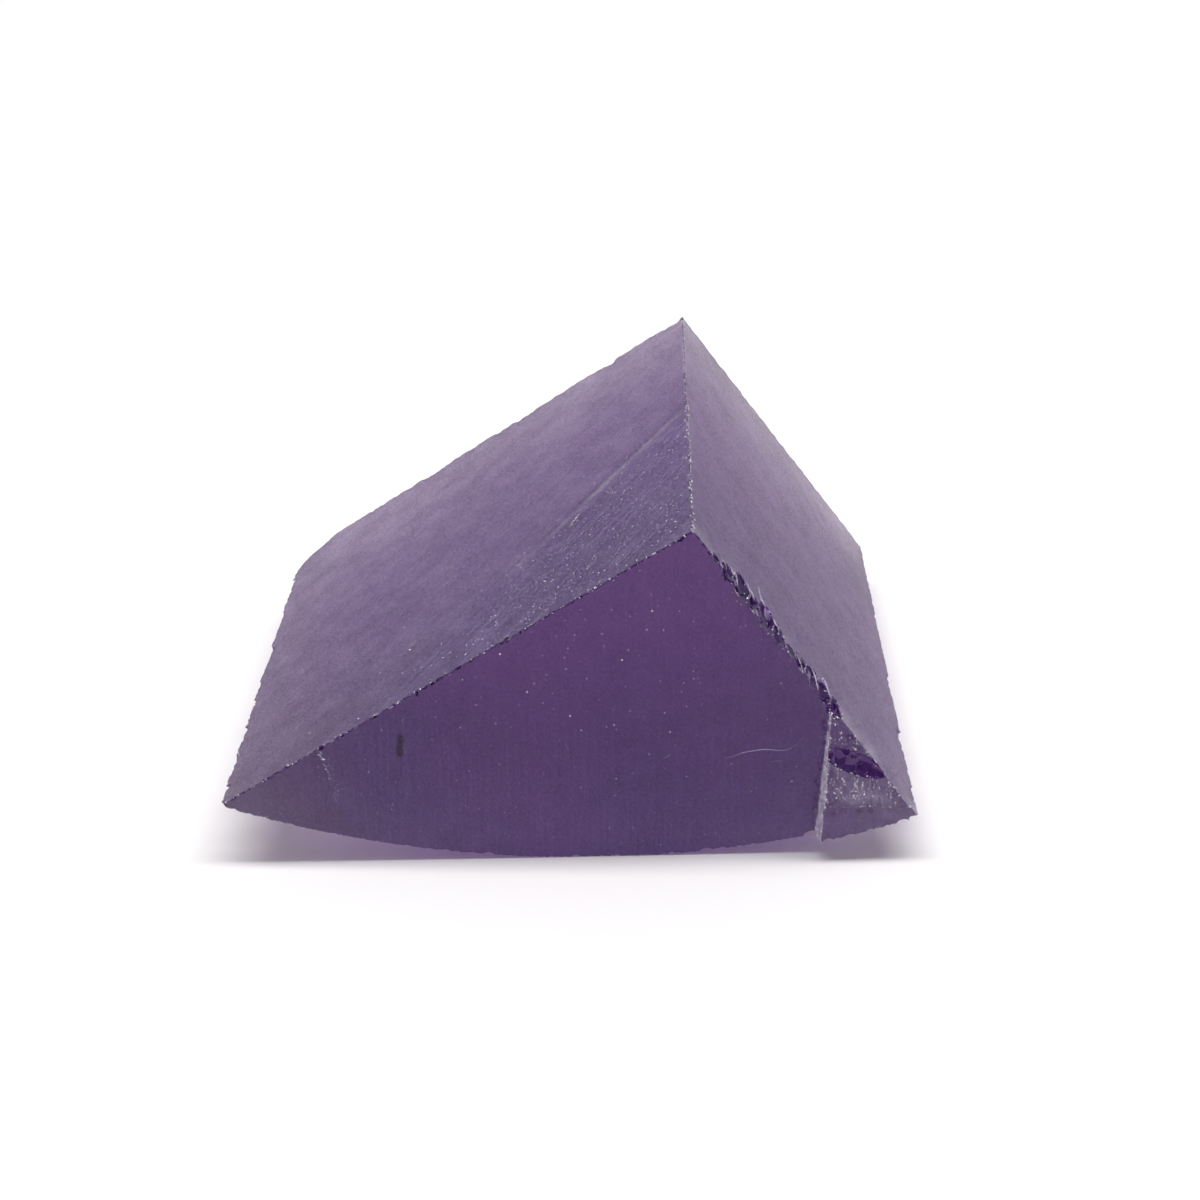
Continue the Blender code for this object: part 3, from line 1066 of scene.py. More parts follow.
def crystal(name, transmission, gleam):
    """A clear material that can be frosted."""
    material, tree, shader = new_material(name)
    shader.inputs["IOR"].default_value = SAPPHIRE_INDEX
    shader.inputs["Transmission Weight"].default_value = transmission
    shader.inputs["Specular Tint"].default_value = gleam
    shader.inputs["Coat IOR"].default_value = FROST_INDEX
    shader.inputs["Coat Roughness"].default_value = FROST_ROUGHNESS
    return material, tree, shader


def mask(tree, name):
    return add(tree, "ShaderNodeAttribute", attribute_name=name).outputs["Fac"]


def blend(tree, low_colour, high_colour, factor):
    made = add(tree, "ShaderNodeMix", {0: factor, 6: low_colour, 7: high_colour}, data_type="RGBA")
    return made.outputs[2]


def between(tree, low_value, high_value, factor):
    made = add(tree, "ShaderNodeMix", {0: factor, 2: low_value, 3: high_value}, data_type="FLOAT")
    return made.outputs[0]


def turn_between(tree, low_way, high_way, factor):
    made = add(tree, "ShaderNodeMix", {0: factor, 4: low_way, 5: high_way}, data_type="VECTOR")
    return made.outputs[1]


def use_group(tree, shared, values):
    """Place a shared group and fill its inputs; returns its one output."""
    made = tree.nodes.new("ShaderNodeGroup")
    made.node_tree = shared
    for name, value in values.items():
        if isinstance(value, bpy.types.NodeSocket):
            tree.links.new(value, made.inputs[name])
        else:
            made.inputs[name].default_value = value
    return made.outputs[0]


def frost(tree, shader, parts):
    """Whiten where the surface is bruised: pairs of a mask and an amount, added up as a coat."""
    total = 0.0
    for part, amount in parts:
        total = maths(tree, "MULTIPLY_ADD", part, amount, total)
    bounded = add(tree, "ShaderNodeMath", {0: total, 1: 1.0}, operation="MINIMUM", use_clamp=True)
    tree.links.new(bounded.outputs[0], shader.inputs["Coat Weight"])


def roughen(tree, shader, height, strength, distance):
    bump = add(
        tree, "ShaderNodeBump", {"Height": height, "Strength": strength, "Distance": distance}
    )
    tree.links.new(bump.outputs[0], shader.inputs["Normal"])


# %% [markdown]
# ## Where the marks lie
# Every mark on the real stone has its place: the line where the saw was set down a second time,
# the greyer corner, the smudges, the smooth facet on the torn tab. The places are given in
# millimetres from the foot, the front end of the stone's lowest line. The directions come from the
# flats themselves, so a mark always runs along its surface.

# %% Places and directions
UP, SIDEWAYS, BACKWARDS = Vector((0, 0, 1)), Vector((1, 0, 0)), Vector((0, 1, 0))
RIDGE_WAY = Vector((0.0175, 0.9998, 0.0))


def from_foot(x, y, z):
    """A point given in millimetres from the foot."""
    return FOOT + Vector((x, y, z)) * MM


def slope_directions(normal, along_share):
    """Across and along the marks in a slope: they go up it, and back by a share of that."""
    up = RIDGE_WAY.cross(normal).normalized()
    if up.z < 0:
        up.negate()
    along = (up + RIDGE_WAY * along_share).normalized()
    return normal.cross(along).normalized(), along


LEFT_ACROSS, LEFT_ALONG = slope_directions(SAWN["left"][1], 0.873)
RIGHT_ACROSS, RIGHT_ALONG = slope_directions(SAWN["right"][1], 1.2)

# The saw was set down a second time on the left slope and left a low shoulder along this line.
SHOULDER_START = from_foot(-0.86, 9.29, 12.58)
SHOULDER_END = from_foot(3.72, 13.58, 15.42)
SHOULDER_WAY = (SHOULDER_END - SHOULDER_START).normalized()
SHOULDER_SIDE = SAWN["left"][1].cross(SHOULDER_WAY).normalized()
if SHOULDER_SIDE.y > 0:
    SHOULDER_SIDE.negate()

# Where the greyer left corner, the duller foot of the left slope and the warmer top begin: a
# point of the border, the way over it, and how soft it is.
CORNER = {
    "Point": from_foot(-10.9, 0.0, 4.6), "Towards": Vector((-0.985, 0.0, -0.17)),
    "Soft": 2.4 * MM,
}
LOW_LEFT = {
    "Point": from_foot(-11.5, 5.0, 5.0), "Towards": Vector((-0.75, -0.66, 0.0)),
    "Soft": 12.0 * MM,
}
HIGH = {"Point": from_foot(0.0, 0.0, 8.0), "Towards": UP, "Soft": 12.0 * MM}

# Smudges on the left slope: middle from the foot and reach each way, in millimetres.
SMUDGES = (
    ((-1.74, 23.1, 11.9), (0.35, 1.1, 0.35)), ((-0.47, 24.6, 12.65), (0.4, 0.9, 0.4)),
    ((1.40, 14.6, 13.9), (0.35, 0.6, 0.35)), ((-7.04, 9.3, 8.65), (0.45, 0.35, 0.45)),
    ((-8.26, 4.6, 7.9), (0.5, 0.35, 0.5)),
)

# One smooth facet at the head of the torn tab.
TAB_FACET = {"Centre": from_foot(10.70, 0.0, 6.0), "Reach": Vector((0.55, 1.5, 0.34)) * MM}
print("shoulder runs along", [round(part, 3) for part in SHOULDER_WAY])

# %% Tints of the surfaces
FRONT_WARM, FRONT_COOL = (0.46, 0.32, 0.42, 1.0), (0.28, 0.31, 0.38, 1.0)
CORNER_TINT = (0.30, 0.29, 0.32, 1.0)
LEFT_TINT, LOW_LEFT_TINT = (0.78, 0.66, 0.87, 1.0), (0.44, 0.36, 0.45, 1.0)
RESAWN_TINT = (0.36, 0.24, 0.52, 1.0)
RIGHT_TINT = (0.90, 0.87, 0.89, 1.0)
PLAIN_TINT = (0.54, 0.46, 0.58, 1.0)
TORN_DARK, TORN_LIGHT = (0.34, 0.34, 0.37, 1.0), (0.50, 0.48, 0.52, 1.0)
CRUSHED_GREY, CRUSHED_AND_LIT_WHITE = (0.80, 0.70, 0.90, 1.0), (1.0, 1.0, 1.0, 1.0)
GLASSY_PAINTED_SHADE, GLASSY_PALE = (0.07, 0.010, 0.15, 1.0), (0.28, 0.15, 0.40, 1.0)
FRONT_ROUGHNESS, SLOPE_ROUGHNESS, SKIN_ROUGHNESS = 0.62, 0.66, 0.5
TORN_ROUGHNESS, GLASSY_ROUGHNESS, FROSTED_ROUGHNESS = 0.45, 0.05, 0.4
GRAIN_BUMP, GRAIN_BUMP_HEIGHT = 0.4, 0.02 * MM
RIM_WIDTH, SHOULDER_FADE = 2.4 * MM, 6.0 * MM
# The shoulder's step is not modelled: a painted shade line and a painted highlight line stand for it.
SHOULDER_PAINTED_SHADE_AT, SHOULDER_PAINTED_HIGHLIGHT_AT, SHOULDER_SOFT = -0.34 * MM, 0.40 * MM, 0.22 * MM
RESAWN_SOFT = 2.5 * MM
TORN_LOW, TORN_HIGH = from_foot(0.0, 0.0, 2.8), from_foot(0.0, 0.0, 4.9)
TORN_LOW_SOFT, TORN_HIGH_SOFT = 0.3 * MM, 0.6 * MM

# Across and along the lines of each surface, times how often they change in a metre.
PLAIN_WAYS = (SIDEWAYS * 3200.0, UP * 200.0)
LINE_WAYS = {
    "left": (LEFT_ACROSS * 4600.0, LEFT_ALONG * 300.0),
    "right": (RIGHT_ACROSS * 3600.0, RIGHT_ALONG * 260.0),
    "skin": (RIDGE_WAY * 1800.0, SIDEWAYS * 150.0),
    "tab": (SIDEWAYS * 8500.0, UP * 2400.0),
    "wall": (BACKWARDS * 5000.0, UP * 2600.0),
    "flake": (RIGHT_ACROSS * 3200.0, RIGHT_ALONG * 900.0),
}


# %% [markdown]
# ## From masks to one surface
# The saw leaves lines, growth leaves rings and tearing leaves ribs. All are the same noise, turned
# and stretched to suit each kind of surface. Masks say which kind a point belongs to and how far
# each mark reaches. The colour, the roughness and the bruises are then put together from the
# masks, in one step each.

# %% What the masks of the sapphire are made of
def surface_lines(tree, masks):
    """Lines of the saw, of growth and of tearing: one noise, turned to suit each surface."""
    across, along = PLAIN_WAYS
    for kind, (surface_across, surface_along) in LINE_WAYS.items():
        across = turn_between(tree, across, surface_across, masks[kind])
        along = turn_between(tree, along, surface_along, masks[kind])
    return use_group(
        tree, LINES, {"Across": across, "Along": along, "Contrast": 1.8, "Seed": 3.1}
    )


def resawn_sides(tree, left):
    """Masks: all of the twice-sawn part, and the painted shade and painted highlight of its shoulder."""
    def beyond(shift, soft):
        side = use_group(tree, SIDE, {
            "Point": SHOULDER_START + SHOULDER_SIDE * shift, "Towards": SHOULDER_SIDE,
            "Soft": soft,
        })
        return maths(tree, "MULTIPLY", side, left)

    worn_off = use_group(tree, SIDE, {
        "Point": SHOULDER_START - SHOULDER_WAY * SHOULDER_FADE / 2, "Towards": SHOULDER_WAY,
        "Soft": SHOULDER_FADE,
    })
    inner, middle, outer = (
        beyond(shift, SHOULDER_SOFT) for shift in (SHOULDER_PAINTED_SHADE_AT, 0.0, SHOULDER_PAINTED_HIGHLIGHT_AT)
    )
    dark = maths(tree, "MULTIPLY", maths(tree, "SUBTRACT", inner, middle), worn_off)
    bright = maths(tree, "MULTIPLY", maths(tree, "SUBTRACT", middle, outer), worn_off)
    return beyond(0.0, RESAWN_SOFT), dark, bright


def bruised_rim(tree, slope):
    """1 on a slope next to its front edge, and 0 a little way behind it."""
    middle, normal = SAWN["front"]
    beside = use_group(tree, SIDE, {
        "Point": middle - normal * RIM_WIDTH / 2, "Towards": normal, "Soft": RIM_WIDTH,
    })
    return maths(tree, "MULTIPLY", maths(tree, "POWER", beside, 2.0), slope)


def rough_zone(tree, tab):
    """1 on the part of the tab that tore roughly, halfway up."""
    above = use_group(tree, SIDE, {"Point": TORN_LOW, "Towards": UP, "Soft": TORN_LOW_SOFT})
    below = use_group(tree, SIDE, {"Point": TORN_HIGH, "Towards": -UP, "Soft": TORN_HIGH_SOFT})
    return maths(tree, "MULTIPLY", maths(tree, "MULTIPLY", above, below), tab)


def smudges(tree):
    total = 0.0
    for centre, reach in SMUDGES:
        values = {"Centre": from_foot(*centre), "Reach": Vector(reach) * MM}
        total = maths(tree, "ADD", total, use_group(tree, SPOT, values))
    return total


# %% All the masks of the sapphire
def sapphire_masks(tree):
    """Every mask by name: the kinds of surface, the marks on them, and the noises."""
    masks = {kind: mask(tree, kind) for kind in KINDS}
    left, tab = masks["left"], masks["tab"]
    masks["slopes"] = maths(tree, "ADD", left, masks["right"])
    masks["broken"] = mask(tree, "broken")
    facet = spread_about_half(tree, use_group(tree, SPOT, TAB_FACET), 3.0)
    glassy = maths(tree, "MAXIMUM", masks["broken"], masks["flake"])
    masks["glassy"] = maths(tree, "MAXIMUM", glassy, maths(tree, "MULTIPLY", facet, tab))

    for name, per_metre, seed, contrast in (
        ("slow", 130.0, 4.4, 2.4), ("cloud", 700.0, 2.3, 1.8), ("grain", 8000.0, 6.1, 2.2),
    ):
        values = {"Per Metre": per_metre, "Seed": seed, "Contrast": contrast}
        masks[name] = use_group(tree, HAZE, values)
    masks["lines"] = surface_lines(tree, masks)
    masks["ribs"] = spread_about_half(tree, masks["lines"], 2.2)
    masks["patches"] = spread_about_half(tree, masks["cloud"], 2.6)
    masks["frosted"] = maths(tree, "MULTIPLY", masks["ribs"], masks["patches"])
    masks["frosted_glass"] = maths(tree, "MULTIPLY", masks["frosted"], masks["flake"])

    for name, border in (("corner", CORNER), ("low_left", LOW_LEFT), ("high", HIGH)):
        masks[name] = use_group(tree, SIDE, border)
    masks["resawn"], masks["dark_line"], masks["shoulder_painted_highlight"] = resawn_sides(tree, left)
    masks["rough_zone"] = rough_zone(tree, tab)
    masks["right_rim"] = bruised_rim(tree, masks["right"])
    masks["smudges"] = smudges(tree)
    return masks


# %% [markdown]
# ## Colour at the surface
# Most of the colour is in the depth, and the surface only tints it. Matt faces are paler where they
# scatter more light. A fresh break is painted nearly black, a painted shade for the dark that one
# sees straight into the stone.
# The tints are laid one over the other by the masks, and noises of three sizes make them uneven,
# as ground crystal is.

# %% The colour of the surface
# How much each noise lightens the surface. The lines show most where the saw was set down twice.
EVEN_SHADE, SLOW_SHADE, CLOUD_SHADE, GRAIN_SHADE = 0.52, 0.15, 0.25, 0.44
LINES_SHADE, LINES_SHADE_LEFT, LINES_SHADE_RESAWN = 0.05, 0.13, 0.18
# How much the painted shade along the shoulder darkens the colour.
SHOULDER_PAINTED_SHADE_AMOUNT = -0.5
SLOPE_CONTRAST = 2.0


def surface_tint(tree, masks):
    """The even tint of each kind of surface, one laid over the other."""
    warmth = between(tree, masks["slow"], masks["high"], 0.6)
    tint = blend(tree, FRONT_COOL, FRONT_WARM, warmth)
    tint = blend(tree, tint, CORNER_TINT, masks["corner"])
    left_tint = blend(tree, LEFT_TINT, LOW_LEFT_TINT, masks["low_left"])
    torn_tint = blend(tree, TORN_DARK, TORN_LIGHT, masks["patches"])
    # The wall's white is partly crushed crystal and partly a painted highlight of a face lit from the left.
    crushed_and_lit_tint = blend(tree, CRUSHED_GREY, CRUSHED_AND_LIT_WHITE, masks["ribs"])
    for over, name in (
        (left_tint, "left"), (RESAWN_TINT, "resawn"), (RIGHT_TINT, "right"),
        (PLAIN_TINT, "skin"), (PLAIN_TINT, "back"), (PLAIN_TINT, "chip"),
        (torn_tint, "tab"), (crushed_and_lit_tint, "wall"),
    ):
        tint = blend(tree, tint, over, masks[name])
    return tint


def surface_shade(tree, masks):
    """How light the surface is at each point, from the lines and the noises."""
    lines_shade = maths(
        tree, "MULTIPLY_ADD", masks["resawn"], LINES_SHADE_RESAWN,
        between(tree, LINES_SHADE, LINES_SHADE_LEFT, masks["left"]),
    )
    shade = maths(tree, "MULTIPLY_ADD", masks["lines"], lines_shade, EVEN_SHADE)
    for name, amount in (("slow", SLOW_SHADE), ("cloud", CLOUD_SHADE), ("grain", GRAIN_SHADE)):
        shade = maths(tree, "MULTIPLY_ADD", masks[name], amount, shade)
    # Painted shade along the shoulder.
    dark = maths(tree, "MULTIPLY", masks["dark_line"], masks["cloud"])
    shade = maths(tree, "MULTIPLY_ADD", dark, SHOULDER_PAINTED_SHADE_AMOUNT, shade)
    return maths(tree, "POWER", shade, between(tree, 1.0, SLOPE_CONTRAST, masks["slopes"]))


def surface_colour(tree, masks):
    # Glassy breaks get a painted shade of nearly black, paler where frosted.
    glass = blend(tree, GLASSY_PAINTED_SHADE, GLASSY_PALE, masks["frosted_glass"])
    matt = scaled(tree, surface_tint(tree, masks), surface_shade(tree, masks))
    return blend(tree, matt, glass, masks["glassy"])


# %% [markdown]
# ## Matt, glassy and bruised
# Sawn crystal scatters light and a fresh break does not, so the roughness follows the same masks.
# A bruise is crystal crushed so finely that it turns white. It is put on as a coat, which can be
# as strong as a mask says while the crystal under it stays one clear material.

# %% How matt the surface is, and its white bruises
def surface_roughness(tree, masks):
    roughness = between(tree, FRONT_ROUGHNESS, SLOPE_ROUGHNESS, masks["slopes"])
    roughness = between(tree, roughness, SKIN_ROUGHNESS, masks["skin"])
    roughness = between(tree, roughness, TORN_ROUGHNESS, masks["tab"])
    glass = between(tree, GLASSY_ROUGHNESS, FROSTED_ROUGHNESS, masks["frosted_glass"])
    return between(tree, roughness, glass, masks["glassy"])


def surface_bruises(tree, masks):
    """Pairs of a mask and an amount of white: saw marks, crushed rims and walls, smudges, painted highlights."""
    def both(one, other):
        return maths(tree, "MULTIPLY", masks[one], masks[other])

    def crisp(name, power, where):
        return maths(tree, "MULTIPLY", maths(tree, "POWER", masks[name], power), masks[where])

    return (
        (crisp("lines", 3.0, "resawn"), 0.4),
        (crisp("grain", 3.0, "slopes"), 0.8),
        (crisp("patches", 2.0, "left"), 0.10),
        (both("right_rim", "patches"), 0.7),
        # Painted highlight along the shoulder, as a white coat.
        (both("shoulder_painted_highlight", "cloud"), 0.7),
        (masks["smudges"], 0.6),
        # White on the torn ribs: partly crushed crystal, partly a painted highlight for the light on the ribs.
        (both("frosted", "rough_zone"), 0.6),
        # The crushed wall, whitened partly as a painted highlight.
        (both("ribs", "wall"), 1.0),
        (masks["frosted_glass"], 0.03),
    )


# %% [markdown]
# ## Putting the material together
# The parts are joined here, with the absorption that gives the stone its purple depth and a fine
# bump for the grain of the matt faces. Broken places get no bump and stay as smooth as glass.

# %% The sapphire's one material
def sapphire_material():
    material, tree, shader = crystal("purple_sapphire", TRANSMISSION, GLEAM)
    depth = add(
        tree, "ShaderNodeVolumeAbsorption",
        {"Color": ABSORPTION_COLOUR, "Density": ABSORPTION_PER_METRE},
    )
    tree.links.new(depth.outputs[0], tree.nodes["Material Output"].inputs["Volume"])

    masks = sapphire_masks(tree)
    tree.links.new(surface_colour(tree, masks), shader.inputs["Base Color"])
    tree.links.new(surface_roughness(tree, masks), shader.inputs["Roughness"])
    frost(tree, shader, surface_bruises(tree, masks))
    relief = maths(tree, "MULTIPLY_ADD", masks["grain"], 0.5, masks["lines"])
    unbroken = maths(tree, "SUBTRACT", 1.0, masks["broken"])
    relief = maths(tree, "MULTIPLY", relief, unbroken)
    roughen(tree, shader, relief, GRAIN_BUMP, GRAIN_BUMP_HEIGHT)
    return material


SAPPHIRE = sapphire_material()
print("sapphire shader has", len(SAPPHIRE.node_tree.nodes), "nodes")

# %% [markdown]
# ## Wear the stone
# Now the trees run over the stone, one modifier after the other: first the shattered, torn and
# grown surfaces, then the chips, edge by edge, the large ones of an edge before its small ones.
# Each run has its own seed.

# %% Run the trees
def lower(surface, depth, stretch, detail, seed):
    put_tree(stone, LOWERED, {
        "Surface": surface, "Depth": depth * MM, "Stretch": stretch, "Detail": detail,
        "Seed": seed, "Material": SAPPHIRE,
    })


def nibble(wire, spacing, smallest, largest, bite, clear, seed):
    put_tree(stone, NIBBLES, {
        "Edge": wires[wire], "Spacing": spacing * MM, "Smallest": smallest * MM,
        "Largest": largest * MM, "Bite": bite, "Clear": clear, "Seed": seed,
        "Material": SAPPHIRE,
    })


def shatter(surface, depth, stretch, tilt):
    put_tree(stone, SHATTERED, {
        "Surface": surface, "Depth": depth * MM, "Stretch": stretch, "Tilt": tilt,
        "Material": SAPPHIRE,
    })


# Kind of surface, depth in millimetres, changes per metre along X, Y and Z, then tilt, or
# detail and seed.
shatter("flake", 0.14, (2600.0, 1300.0, 1700.0), 3.0)
lower("tab", 0.12, (2600.0, 2600.0, 700.0), 5.0, 4.0)
lower("wall", 0.06, (900.0, 900.0, 1500.0), 4.0, 7.0)
lower("skin", 0.02, (150.0, 1200.0, 150.0), 3.0, 2.0)

# Wire; spacing, smallest and largest chip in millimetres; bite; how clear; seed.
nibble("ridge_edges", 1.3, 0.12, 0.26, 0.30, 1.0, 10)
nibble("ridge_edges", 0.08, 0.05, 0.14, 0.45, 1.0, 13)
nibble("keen_edges", 0.9, 0.14, 0.40, 0.34, 1.0, 11)
nibble("keen_edges", 0.08, 0.07, 0.20, 0.50, 1.0, 12)
nibble("belly_edges", 0.8, 0.15, 0.42, 0.30, 0.4, 21)
nibble("belly_edges", 0.12, 0.06, 0.20, 0.45, 0.4, 22)
nibble("splintered_edges", 0.3, 0.06, 0.26, 0.34, 0.9, 31)
nibble("tab_edges", 0.16, 0.08, 0.24, 0.42, 0.0, 35)
nibble("ledge_edges", 0.2, 0.10, 0.36, 0.36, 0.0, 38)
nibble("tab_foot_edges", 0.5, 0.2, 0.55, 0.40, 0.0, 36)
nibble("tab_foot_edges", 0.12, 0.06, 0.2, 0.45, 0.2, 37)
nibble("skin_edges", 0.9, 0.2, 0.5, 0.24, 0.0, 41)
nibble("skin_edges", 0.3, 0.1, 0.3, 0.34, 0.2, 42)
nibble("back_edges", 0.9, 0.2, 0.45, 0.24, 0.0, 51)
nibble("back_edges", 0.3, 0.12, 0.3, 0.34, 0.2, 52)
print("stone faces:", bake_trees(stone))

# %% [markdown]
# ## Sharp rims and smooth hollows
# Faces that meet at a small angle are shaded as one smooth surface and all others stay sharp, so a
# chip is round inside and has a crisp rim. Then the finished stone takes the place of the frame's
# plain one.

# %% Round off the shading and stand in for the frame's node
SMOOTH_BELOW = math.radians(26.0)


def take_aboard(piece):
    """Every piece moves with the stone's body and is finished as sapphire."""
    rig.ride(piece, BODY)
    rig.slot(piece, STONE)


stone.data.shade_smooth()
stone.data.set_sharp_from_angle(angle=SMOOTH_BELOW)
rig.replaces(stone, STONE)
take_aboard(stone)
print("materials:", [material.name for material in stone.data.materials])

# %% [markdown]
# ## Dust and grit on the faces
# The grains are closed little solids with a white, slightly shining finish of their own. Loose dust
# is thin and even. Grit is thicker on the crushed wall, and it gathers in streaks in the saw marks
# and on the torn tab. White dots painted on the surface would be quicker to make, but they would
# lie flat in a low view, and a grain is what catches the light.

# %% Crystal dust
DUST_DARK, DUST_LIGHT = (0.54, 0.50, 0.58, 1.0), (0.98, 0.96, 1.0, 1.0)


def dust_material():
    material, tree, shader = new_material("crystal_dust")
    shader.inputs["IOR"].default_value = SAPPHIRE_INDEX
    grains = use_group(tree, HAZE, {"Per Metre": 3000.0, "Seed": 5.2, "Contrast": 3.0})
    tree.links.new(blend(tree, DUST_DARK, DUST_LIGHT, grains), shader.inputs["Base Color"])
    tree.links.new(between(tree, 0.25, 0.55, grains), shader.inputs["Roughness"])
    return material


DUST = dust_material()


def grain_piece(name, tree, values):
    """An object whose whole mesh comes from a tree, baked to plain grains."""
    piece = put_in_scene(name, bpy.data.meshes.new(name))
    put_tree(piece, tree, {**values, "Material": DUST})
    count = bake_trees(piece)
    take_aboard(piece)
    print(name, "faces:", count)


# %% Strew the faces
EVERYWHERE = {"Fade Point": -UP, "Fade Way": UP, "Fade Over": 0.01 * MM}


def strew(name, surface, per_square_mm, smallest, largest, long, seed, **more):
    grain_piece(name, STREWN, {
        "Ground": stone, "Surface": surface, "Per Square Metre": per_square_mm / MM ** 2,
        "Smallest": smallest * MM, "Largest": largest * MM, "Long": long, "Seed": seed,
        "Streaks": 0.0, "Across": SIDEWAYS, "Along": UP, "Streaks Per Metre": 1000.0,
        **EVERYWHERE, **more,
    })


# Kind of surface; grains to the square millimetre; smallest and largest in millimetres; how long
# for their width; seed.
strew("dust_on_front", "front", 3.0, 0.010, 0.028, 1.6, 61)
strew("dust_on_left", "left", 1.2, 0.008, 0.030, 1.8, 62, Along=LEFT_ALONG)
strew("dust_on_right", "right", 0.8, 0.008, 0.026, 1.6, 63, Along=RIGHT_ALONG)
strew("grit_on_wall", "wall", 200.0, 0.016, 0.044, 1.5, 66)
strew(
    "grit_in_saw_marks", "left", 17.0, 0.014, 0.032, 1.6, 64, Streaks=0.8, Across=LEFT_ACROSS,
    Along=LEFT_ALONG,
    **{"Streaks Per Metre": 900.0, "Fade Point": SHOULDER_START, "Fade Way": SHOULDER_SIDE,
       "Fade Over": 2.0 * MM},
)
strew(
    "torn_grit", "tab", 150.0, 0.018, 0.044, 1.4, 65, Streaks=0.85,
    **{"Streaks Per Metre": 3000.0, "Fade Point": TORN_LOW, "Fade Way": UP,
       "Fade Over": TORN_LOW_SOFT},
)

# %% [markdown]
# ## Grit along lines, and bruises
# In the nibbled edges the grit follows the same wires as the chips. A bruise is a short path of
# crushed crystal, where something hit or scratched the stone. Its ends are given as places from
# the foot and laid on the surface by casting a ray, so it rests on the stone wherever the chips
# went.

# %% Lay paths on the stone
stone_surface = bvhtree.BVHTree.FromPolygons(
    [vert.co for vert in stone.data.vertices], [list(face.vertices) for face in stone.data.polygons]
)
RAY_START = 50.0 * MM


def on_front(x, z):
    """The point of the surface seen from straight in front, x and z in mm from the foot."""
    return stone_surface.ray_cast(from_foot(x, 0.0, z) - BACKWARDS * RAY_START, BACKWARDS)[0]


def on_top(x, y):
    """The point of the surface seen from straight above, x and y in mm from the foot."""
    return stone_surface.ray_cast(from_foot(x, y, 0.0) + UP * RAY_START, -UP)[0]


def path_object(name, points):
    mesh = bpy.data.meshes.new(name)
    mesh.from_pydata(points, [(i, i + 1) for i in range(len(points) - 1)], [])
    return put_in_scene(name, mesh)


def laid(place, ends, steps=12):
    """Points on the surface along straight runs between places."""
    points = []
    for (a, b), (c, d) in zip(ends, ends[1:]):
        points += [place(a + (c - a) * i / steps, b + (d - b) * i / steps) for i in range(steps)]
    return points + [place(*ends[-1])]


# %% Grit in the edges, and bruises
def trail(name, path, spacing, spread, keep, smallest, largest, seed, long=1.6):
    grain_piece(name, TRAIL, {
        "Path": path, "Spacing": spacing * MM, "Spread": spread * MM, "Keep": keep,
        "Smallest": smallest * MM, "Largest": largest * MM, "Long": long, "Seed": seed,
    })


# Path; spacing and spread in millimetres; share kept; smallest and largest in millimetres; seed.
trail("grit_ridge", wires["ridge_edges"], 0.05, 0.17, 0.75, 0.010, 0.038, 70)
trail("grit_keen_edges", wires["keen_edges"], 0.08, 0.12, 0.45, 0.010, 0.040, 71)
trail("grit_tab_foot", wires["tab_foot_edges"], 0.08, 0.10, 0.50, 0.008, 0.034, 75)
trail("grit_belly_edge", wires["belly_edges"], 0.12, 0.12, 0.35, 0.008, 0.032, 72)
trail("grit_splinters", wires["splintered_edges"], 0.16, 0.08, 0.20, 0.006, 0.022, 73)
trail("grit_tab", wires["tab_edges"], 0.05, 0.12, 0.50, 0.010, 0.040, 74)

# How it is laid; its ends in millimetres from the foot; spacing, spread, share kept, largest grain.
SMALLEST_CRUMB = 0.006
BRUISES = {
    "bruise_left_corner": (
        on_front, ((-11.86, 5.55), (-11.72, 5.35), (-11.45, 4.64), (-11.20, 3.55), (-11.17, 3.13)),
        0.012, 0.27, 0.9, 0.022,
    ),
    "bruise_left_top": (on_front, ((-11.90, 5.55), (-11.62, 5.05)), 0.03, 0.13, 0.9, 0.036),
    "bruise_slope_low": (on_top, ((-1.29, 7.65), (-0.89, 8.39)), 0.020, 0.05, 0.9, 0.036),
    "bruise_slope_high": (on_top, ((3.02, 3.82), (3.54, 4.33)), 0.03, 0.05, 0.7, 0.024),
    "crack_in_tab": (
        on_front, ((11.22, 2.92), (11.31, 2.40), (11.16, 1.78)), 0.022, 0.05, 0.8, 0.026,
    ),
    "rim_of_hollow": (on_front, ((11.70, 4.60), (11.97, 4.43)), 0.02, 0.03, 0.9, 0.022),
    "rim_under_hollow": (
        on_front, ((9.75, 4.62), (10.05, 4.42), (10.5, 4.66)), 0.03, 0.03, 0.8, 0.016,
    ),
    "edge_of_ledge": (
        on_front, ((9.62, 2.72), (10.2, 2.74), (11.05, 3.0)), 0.035, 0.04, 0.6, 0.018,
    ),
}
for seed, (name, values) in enumerate(BRUISES.items(), start=81):
    place, ends, spacing, spread, keep, largest = values
    path = path_object(name + "_path", laid(place, ends))
    trail(name, path, spacing, spread, keep, SMALLEST_CRUMB, largest, seed)
    bpy.data.objects.remove(path)

for wire in wires.values():
    bpy.data.objects.remove(wire)

# %% [markdown]
# ## Single grains
# A few grains are larger than the rest and catch the eye. Those in the glassy band are white grains
# set as painted glints. They follow no rule, so they are placed one by one with `bmesh`, as the
# same squashed balls.

# %% Single grains that catch the eye
# Places in millimetres from the foot: across and up on the front, across and back on the top.
FRONT_GRAINS = (
    (0.95, 9.72), (-1.37, 9.34), (-2.71, 8.65), (-3.01, 8.27), (1.30, 7.27), (0.63, 6.60),
    (3.00, 6.21), (2.55, 8.69), (-1.22, 7.08), (0.12, 10.96), (-5.15, 7.69), (-4.10, 10.10),
    (2.42, 12.21), (2.18, 11.99), (8.28, 3.66),
)
TOP_GRAINS = ((-8.26, 4.23), (-7.05, 0.1), (-10.17, 0.25), (3.97, 12.98), (4.02, 10.29))
